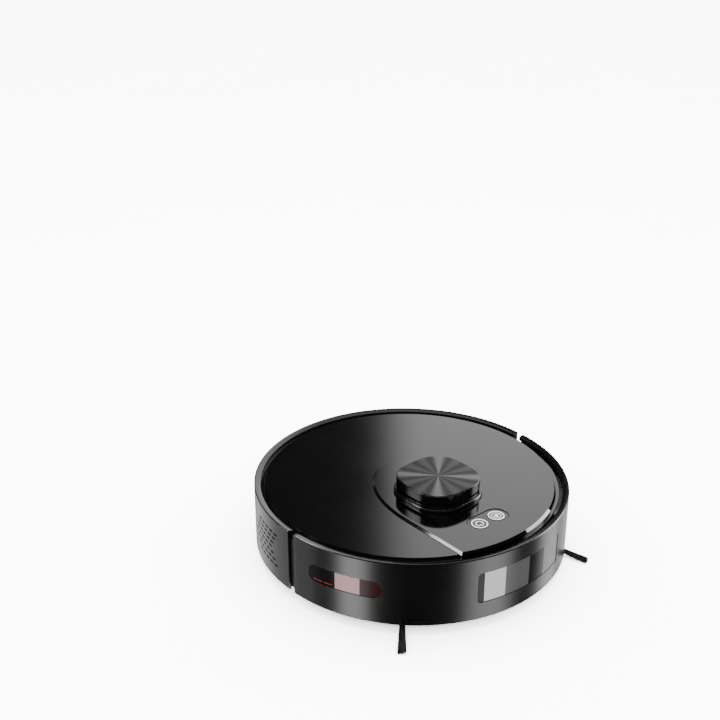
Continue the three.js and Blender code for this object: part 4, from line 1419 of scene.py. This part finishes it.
# ---- Operators: rear and inside ----------------------------------------------------------------
class ROBOTVAC_OT_dust_bin(bpy.types.Operator):
    """Builds the dust bin with its lid, release button and rubber flaps"""
    bl_idname = "robotvac.dust_bin"
    bl_label = "Dust Bin"

    def execute(self, context):
        shell = settings(context, "shell")
        tinted = moulded("tinted_bin", (0.022, 0.022, 0.024), 0.2, spread=0.05, grain=2000.0, bump=0.02,
                         coat=0.3,
                         wear=0.3, mottle=0.02)
        item = as_object("bin_body", self.solid(SHELL_RADIUS, 0, BIN_LOW.z, BIN_HIGH.z, shell.sides))
        hollow = self.solid(SHELL_RADIUS - 3, 2.5, BIN_LOW.z + 2.5, 90, shell.sides)
        inlet = block((-85, -70), (-33, 33), (23, 43), 1.5, 3)
        filter_port = block((-135, -92), (-80, -60), (24, 56), 1.5, 3)
        low, high = span("bin_release_button")
        button_port = block((-180, -160), (low.y - GAP, high.y + GAP), (low.z - GAP, high.z + GAP), 1.6, 3)
        flap_low, flap_high = span("dust_port_flap")
        flap = (flap_low + flap_high) / 2
        bearing = math.atan2(flap.y, flap.x - SHELL_X)
        port = moved(block((160, 180), (-16, 16), (flap_low.z - 0.3, flap_high.z + 0.8), 1.2, 3),
                     turn_z(bearing, (SHELL_X, 0, 0)))
        cut(item, hollow, inlet, filter_port, button_port, port)
        finish_round(item, SHELL_X, SHELL_RADIUS, 0.3)
        dress(item, "bin", "bin_tinted", tinted, "dustbin")
        low, high = span("bin_lid")
        lid = self.solid(SHELL_RADIUS, 0, low.z, high.z, shell.sides)
        piece("bin_cover", lid, "bin", "bin_tinted", tinted, "bin_lid", edge=0.3)
        self.release_button(shell)
        for name, node, body in (("inlet_flap", "dust_flap", "inlet_flap"),
                                 ("port_flap", "dust_port_flap", "port_flap")):
            self.flap(name, node, body)
        self.filter()
        return {"FINISHED"}

    def solid(self, radius, inset, low, high, steps):
        mesh = cylinder(radius, low, high, (SHELL_X, 0), steps)
        keep_below(mesh, (BIN_HIGH.x - inset, 0, 0), (1, 0, 0))
        keep_below(mesh, (0, BIN_HIGH.y - inset, 0), (0, 1, 0))
        return keep_below(mesh, (0, BIN_LOW.y + inset, 0), (0, -1, 0))

    def release_button(self, shell):
        low, high = span("bin_release_button")
        mesh = cylinder(SHELL_RADIUS - 0.2, low.z, high.z, (SHELL_X, 0), shell.sides)
        keep_below(mesh, (high.x, 0, 0), (1, 0, 0))
        keep_below(mesh, (0, high.y, 0), (0, 1, 0))
        keep_below(mesh, (0, low.y, 0), (0, -1, 0))
        item = as_object("bin_release", mesh)
        grooves = [block((-180, -174.2), (low.y + 4, high.y - 4), (z - 0.4, z + 0.4)) for z in (40, 43, 46)]
        cut(item, joined(*grooves))
        finish(item, "bin_key", "dark_plastic", dark_plastic(), "bin_release_button", edge=0.35, segments=3)

    def flap(self, name, node, body):
        """A rubber flap with a thicker bead round its edge."""
        low, high = span(node)
        centre = (low + high) / 2
        bearing = math.atan2(centre.y, centre.x - SHELL_X) if node == "dust_port_flap" else 0.0
        width = (high.y - low.y) / 2 if node == "dust_flap" else 15.6
        place = turn_z(bearing, (centre.x, centre.y, centre.z))
        height = (high.z - low.z) / 2
        sheet = block((-0.5, 0.5), (-width, width), (-height, height), 0.3, 2)
        bead = []
        for sign in (1, -1):
            side = sorted((sign * width, sign * (width - 2)))
            bead.append(block((-0.72, 0.72), side, (-height, height), 0.5, 3))
            edge = sorted((sign * height, sign * (height - 2)))
            bead.append(block((-0.72, 0.72), (-width, width), edge, 0.5, 3))
        piece(name + "_rubber", moved(joined(sheet, *bead), place), body, "roller_rubber", soft_rubber(),
              node, edge=0)

    def filter(self):
        low, high = span("bin_filter")
        frame_part = as_object("filter_frame", block((low.x, high.x), (low.y, low.y + 3.7), (low.z, high.z),
                                                     1.0, 3))
        cut(frame_part, block((low.x + 4, high.x - 4), (low.y + 1, low.y + 10), (low.z + 4, high.z - 4),
                              1.0, 3))
        smooth(frame_part)
        dress(frame_part, "bin", "filter_paper", dark_plastic(), "bin_filter")
        pleats = bmesh.new()
        count = 17
        pitch = (high.x - low.x - 9) / count
        front, back = low.y + 6.6, low.y + 1.4
        points = [(low.x + 4.5 + pitch * step / 2, front if step % 2 else back)
                  for step in range(2 * count + 1)]
        verts = [pleats.verts.new((x, y, low.z + 4.4)) for x, y in points]
        edges = [pleats.edges.new(pair) for pair in zip(verts, verts[1:])]
        made = bmesh.ops.extrude_edge_only(pleats, edges=edges)["geom"]
        top = [vert for vert in made if isinstance(vert, bmesh.types.BMVert)]
        bmesh.ops.translate(pleats, verts=top, vec=(0, 0, high.z - low.z - 8.8))
        bmesh.ops.solidify(pleats, geom=pleats.faces[:], thickness=0.35)
        paper = moulded("pleated_paper", (0.78, 0.77, 0.72), 0.9, spread=0.05, grain=2500.0, bump=0.4,
                        worn=(0.6, 0.58, 0.52), mottle=0.3, dust=0.3)
        piece("filter_pleats", pleats, "bin", "filter_paper", paper, edge=0)


class ROBOTVAC_OT_contacts_and_sensors(bpy.types.Operator):
    """Builds the charging contacts and the cliff sensors' windows"""
    bl_idname = "robotvac.contacts_and_sensors"
    bl_label = "Contacts and Sensors"

    def execute(self, context):
        for side in SIDES:
            node = "charge_contact_" + side
            low, high = span(node)
            centre = (low + high) / 2
            bearing = math.atan2(centre.y, centre.x - SHELL_X)
            sweep = math.radians(6.2)
            mesh = tube(170.6, 172.8, low.z, high.z, (0, 0), 24, angle=sweep)
            moved(mesh, turn_z(bearing - sweep / 2, (SHELL_X, 0, 0)))
            piece(f"contact_pad_{side}", mesh, "body", "gold_contact", gold_plate(), node, edge=0.4,
                  segments=3)
        lens = moulded("cliff_lens", (0.012, 0.003, 0.004), 0.07, spread=0.03, bump=0.0, coat=1.0, dust=0.0,
                       worn=(0.05, 0.02, 0.02))
        for name in ("front", "left", "right"):
            low, high = span("cliff_sensor_" + name)
            half, centre = (high - low) / 2, (low + high) / 2
            mesh = prism(rounded_rectangle(half.x, half.y, 2, 6, (centre.x, centre.y)), low.z, high.z)
            piece(f"cliff_window_{name}", mesh, "body", "lens_dark", lens, "cliff_sensor_" + name, edge=0.3)
        return {"FINISHED"}


class ROBOTVAC_OT_springs(bpy.types.Operator):
    """Builds the bumper's and the wheel arms' coil springs"""
    bl_idname = "robotvac.springs"
    bl_label = "Springs"

    def execute(self, context):
        for side in SIDES:
            self.spring("bumper_spring_" + side, "X", 5, 0.45)
            self.spring("wheel_spring_" + side, "Z", 4, 0.5)
        return {"FINISHED"}

    def spring(self, node, axis, turns, wire):
        low, high = span(node)
        centre = (low + high) / 2
        length = (high.x - low.x if axis == "X" else high.z - low.z) - 2 * wire
        across = (high.z - low.z if axis == "X" else high.x - low.x) / 2 - wire
        mesh = bmesh.new()
        ring = bmesh.ops.create_circle(mesh, cap_ends=True, radius=wire, segments=8,
                                       matrix=Matrix.Translation((across, 0, -length / 2)) @
                                       Matrix.Rotation(math.pi / 2, 4, "X"))["verts"]
        faces = list({face for vert in ring for face in vert.link_faces})
        steps = turns * 20
        bmesh.ops.spin(mesh, geom=faces, cent=(0, 0, 0), axis=(0, 0, 1), dvec=(0, 0, length / steps),
                       angle=FULL_TURN * turns, steps=steps, use_merge=False)
        bmesh.ops.recalc_face_normals(mesh, faces=mesh.faces)
        turn = Matrix.Rotation(math.pi / 2, 4, "Y") if axis == "X" else Matrix.Identity(4)
        moved(mesh, Matrix.Translation(centre) @ turn)
        piece(node + "_coil", mesh, "body", "steel", plain_steel(), node, edge=0)


class ROBOTVAC_OT_inner_works(bpy.types.Operator):
    """Gives the parts inside, which keep their own shapes, their finishes"""
    bl_idname = "robotvac.inner_works"
    bl_label = "Inner Works"

    def execute(self, context):
        board = moulded("circuit_board", (0.008, 0.07, 0.025), 0.35, spread=0.1, grain=1500.0, bump=0.1,
                        worn=(0.4, 0.32, 0.12), wear=0.5, mottle=0.12)
        wrap = moulded("battery_sleeve", (0.02, 0.07, 0.25), 0.35, spread=0.12, grain=500.0, bump=0.15,
                       worn=(0.2, 0.25, 0.4), mottle=0.1)
        finishes = {
            board: ("main_board",), wrap: ("battery",),
            plain_steel(): ("lidar_motor", "fan_motor"),
            dark_plastic(): ("fan_housing", "fan_impeller", "brush_housing", "brush_motor", "caster_socket",
                             "speaker", "wheel_housing_left", "wheel_housing_right",
                             "side_brush_motor_left",
                             "side_brush_motor_right"),
        }
        for material, nodes in finishes.items():
            for node in nodes:
                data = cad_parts[node].data
                data.materials.clear()
                data.materials.append(material)
        return {"FINISHED"}


# ---- Stage -------------------------------------------------------------------------------------
# Softboxes round the robot: bearing of the middle, half width, lowest and highest elevation and
# softness of the edge, all in degrees, and strength. Only reflections see them. Those below the
# horizon put the bright and dark streaks on the upright walls.
SOFTBOXES = (
    (99, 39, 5, 50, 1.6, 2.4),
    (-127.4, 11, 29, 46, 0.2, 24),
    (71, 12.7, 8, 33, 0.2, 16),
    (180, 16, -75, -2, 12, 1.5),
    (-145, 10, -75, -2, 8, 0.9),
    (-123, 6, -75, -2, 5, 0.9),
    (-85, 6, -75, -2, 9, 6.5),
    (16, 12, -75, -2, 12, 4.5),
    (77, 9, -75, -2, 8, 3.2),
    (118, 22, -75, -2, 8, 1.3),
)


class ROBOTVAC_OT_stage(bpy.types.Operator):
    """Sets up the pale floor, the soft lights and the camera"""
    bl_idname = "robotvac.stage"
    bl_label = "Stage"

    def execute(self, context):
        studio = settings(context, "studio")
        self.floor(studio)
        self.surround(context, studio)
        self.top_light(context, studio)
        self.camera(context, studio)
        return {"FINISHED"}

    def floor(self, studio):
        """A matt floor that shows white and stays out of the reflections in the walls."""
        mesh = bmesh.new()
        bmesh.ops.create_grid(mesh, x_segments=1, y_segments=1, size=30)
        data = bpy.data.meshes.new("floor")
        mesh.to_mesh(data)
        mesh.free()
        floor = bpy.data.objects.new("floor", data)
        bpy.context.scene.collection.objects.link(floor)
        floor.visible_glossy = False
        material, tree, shader = blank_material("floor_white")
        paper = noise_node(tree, object_place(tree), 3.0, 2.0)
        white = (studio.floor,) * 3
        shown = mix_colour(tree, paper, white, tuple(value * 0.97 for value in white))
        seen = tree.nodes.new("ShaderNodeLightPath").outputs["Is Camera Ray"]
        matt = tree.nodes.new("ShaderNodeBsdfDiffuse")
        tree.links.new(mix_colour(tree, seen, (0.5, 0.5, 0.5), shown), matt.inputs["Color"])
        tree.links.new(matt.outputs[0], tree.nodes["Material Output"].inputs["Surface"])
        tree.nodes.remove(shader)
        data.materials.append(material)

    def surround(self, context, studio):
        """Even light for matt surfaces, softboxes for glossy ones and white behind the object."""
        world = bpy.data.worlds.new("studio")
        world.use_nodes = True
        world.cycles.sampling_method = "NONE"
        context.scene.world = world
        tree = world.node_tree
        parts = tree.nodes.new("ShaderNodeSeparateXYZ")
        tree.links.new(tree.nodes.new("ShaderNodeTexCoord").outputs["Generated"], parts.inputs[0])
        bearing = math_node(tree, "ARCTAN2", parts.outputs["Y"], parts.outputs["X"])
        height = math_node(tree, "ARCSINE", parts.outputs["Z"])
        level = studio.dark
        for box in SOFTBOXES:
            level = math_node(tree, "ADD", self.softbox(tree, bearing, height, studio.boxes, *box), level)
        paths = tree.nodes.new("ShaderNodeLightPath")
        strength = self.choose(tree, paths.outputs["Is Glossy Ray"], level, studio.sky)
        strength = self.choose(tree, paths.outputs["Is Camera Ray"], studio.backdrop, strength)
        sky = tree.nodes["Background"]
        sky.inputs["Color"].default_value = (1, 1, 1, 1)
        tree.links.new(strength, sky.inputs["Strength"])

    def choose(self, tree, switch, when_on, when_off):
        node = tree.nodes.new("ShaderNodeMix")
        for socket, value in ((node.inputs[0], switch), (node.inputs[2], when_off),
                              (node.inputs[3], when_on)):
            if isinstance(value, bpy.types.NodeSocket):
                tree.links.new(value, socket)
            else:
                socket.default_value = value
        return node.outputs[0]

    def softbox(self, tree, bearing, height, gain, middle_deg, half, low, high, soft, strength):
        """One softbox's light in a direction: full inside its edges and fading over their softness."""
        away = math_node(tree, "SUBTRACT", bearing, math.radians(middle_deg))
        near = math_node(tree, "COSINE", away)
        across = self.fade(tree, near, math.cos(math.radians(half + soft)),
                           math.cos(math.radians(max(half - soft, 0))))
        above = self.fade(tree, height, math.radians(low - soft), math.radians(low + soft))
        below = self.fade(tree, height, math.radians(high + soft), math.radians(high - soft))
        inside = math_node(tree, "MULTIPLY", math_node(tree, "MULTIPLY", across, above), below)
        return math_node(tree, "MULTIPLY", inside, strength * gain)

    def fade(self, tree, value, start, full):
        node = tree.nodes.new("ShaderNodeMapRange")
        node.interpolation_type = "SMOOTHSTEP"
        node.inputs["From Min"].default_value = start
        node.inputs["From Max"].default_value = full
        tree.links.new(value, node.inputs["Value"])
        return node.outputs[0]

    def top_light(self, context, studio):
        data = bpy.data.lights.new("top_light", "AREA")
        data.shape = "RECTANGLE"
        data.size, data.size_y = 1.6, 1.6
        data.energy = studio.top_power
        light = bpy.data.objects.new("top_light", data)
        light.location = (-0.3, 0.3, 2.0)
        light.rotation_euler = Vector((0.3, -0.3, -2.0)).to_track_quat("-Z", "Y").to_euler()
        context.scene.collection.objects.link(light)

    def camera(self, context, studio):
        data = bpy.data.cameras.new("camera")
        data.lens = studio.lens
        camera = bpy.data.objects.new("camera", data)
        camera.location = Vector((771.7, -720.9, 677.5)) * MM
        camera.rotation_euler = (math.radians(66.717), 0, math.radians(50.013))
        context.scene.collection.objects.link(camera)
        context.scene.camera = camera


# ---- Panel and registration --------------------------------------------------------------------
OPERATORS = (
    ROBOTVAC_OT_stage, ROBOTVAC_OT_rear_shell, ROBOTVAC_OT_bumper, ROBOTVAC_OT_sensor_windows,
             ROBOTVAC_OT_top_deck,
    ROBOTVAC_OT_raised_panel, ROBOTVAC_OT_buttons, ROBOTVAC_OT_turret, ROBOTVAC_OT_base_plate,
    ROBOTVAC_OT_side_brushes, ROBOTVAC_OT_roller, ROBOTVAC_OT_drive_wheels, ROBOTVAC_OT_caster,
    ROBOTVAC_OT_dust_bin, ROBOTVAC_OT_contacts_and_sensors, ROBOTVAC_OT_springs, ROBOTVAC_OT_inner_works,
)
GROUPS = {
    "shell": ShellSettings, "turret": TurretSettings, "brush": BrushSettings, "wheel": WheelSettings,
    "studio": StudioSettings,
}


class ROBOTVAC_PT_panel(bpy.types.Panel):
    """Lists the settings and the steps that build the robot"""
    bl_idname = "ROBOTVAC_PT_panel"
    bl_label = "Robot Vacuum"
    bl_space_type = "VIEW_3D"
    bl_region_type = "UI"
    bl_category = "Robot Vacuum"

    def draw(self, context):
        for group in GROUPS:
            box = self.layout.box()
            values = settings(context, group)
            for name in values.__annotations__:
                box.prop(values, name)
        for operator in OPERATORS:
            self.layout.operator(operator.bl_idname)


def register():
    for group, kind in GROUPS.items():
        bpy.utils.register_class(kind)
        setattr(bpy.types.Scene, "robot_vacuum_" + group, PointerProperty(type=kind))
    for kind in (*OPERATORS, ROBOTVAC_PT_panel):
        bpy.utils.register_class(kind)


def unregister():
    for kind in (ROBOTVAC_PT_panel, *reversed(OPERATORS)):
        bpy.utils.unregister_class(kind)
    for group, kind in GROUPS.items():
        delattr(bpy.types.Scene, "robot_vacuum_" + group)
        bpy.utils.unregister_class(kind)


def main():
    register()
    moulded_grain_group()
    edge_wear_group()
    dust_group()
    for operator in OPERATORS:
        area, name = operator.bl_idname.split(".")
        getattr(getattr(bpy.ops, area), name)()


if __name__ == "__main__":
    main()
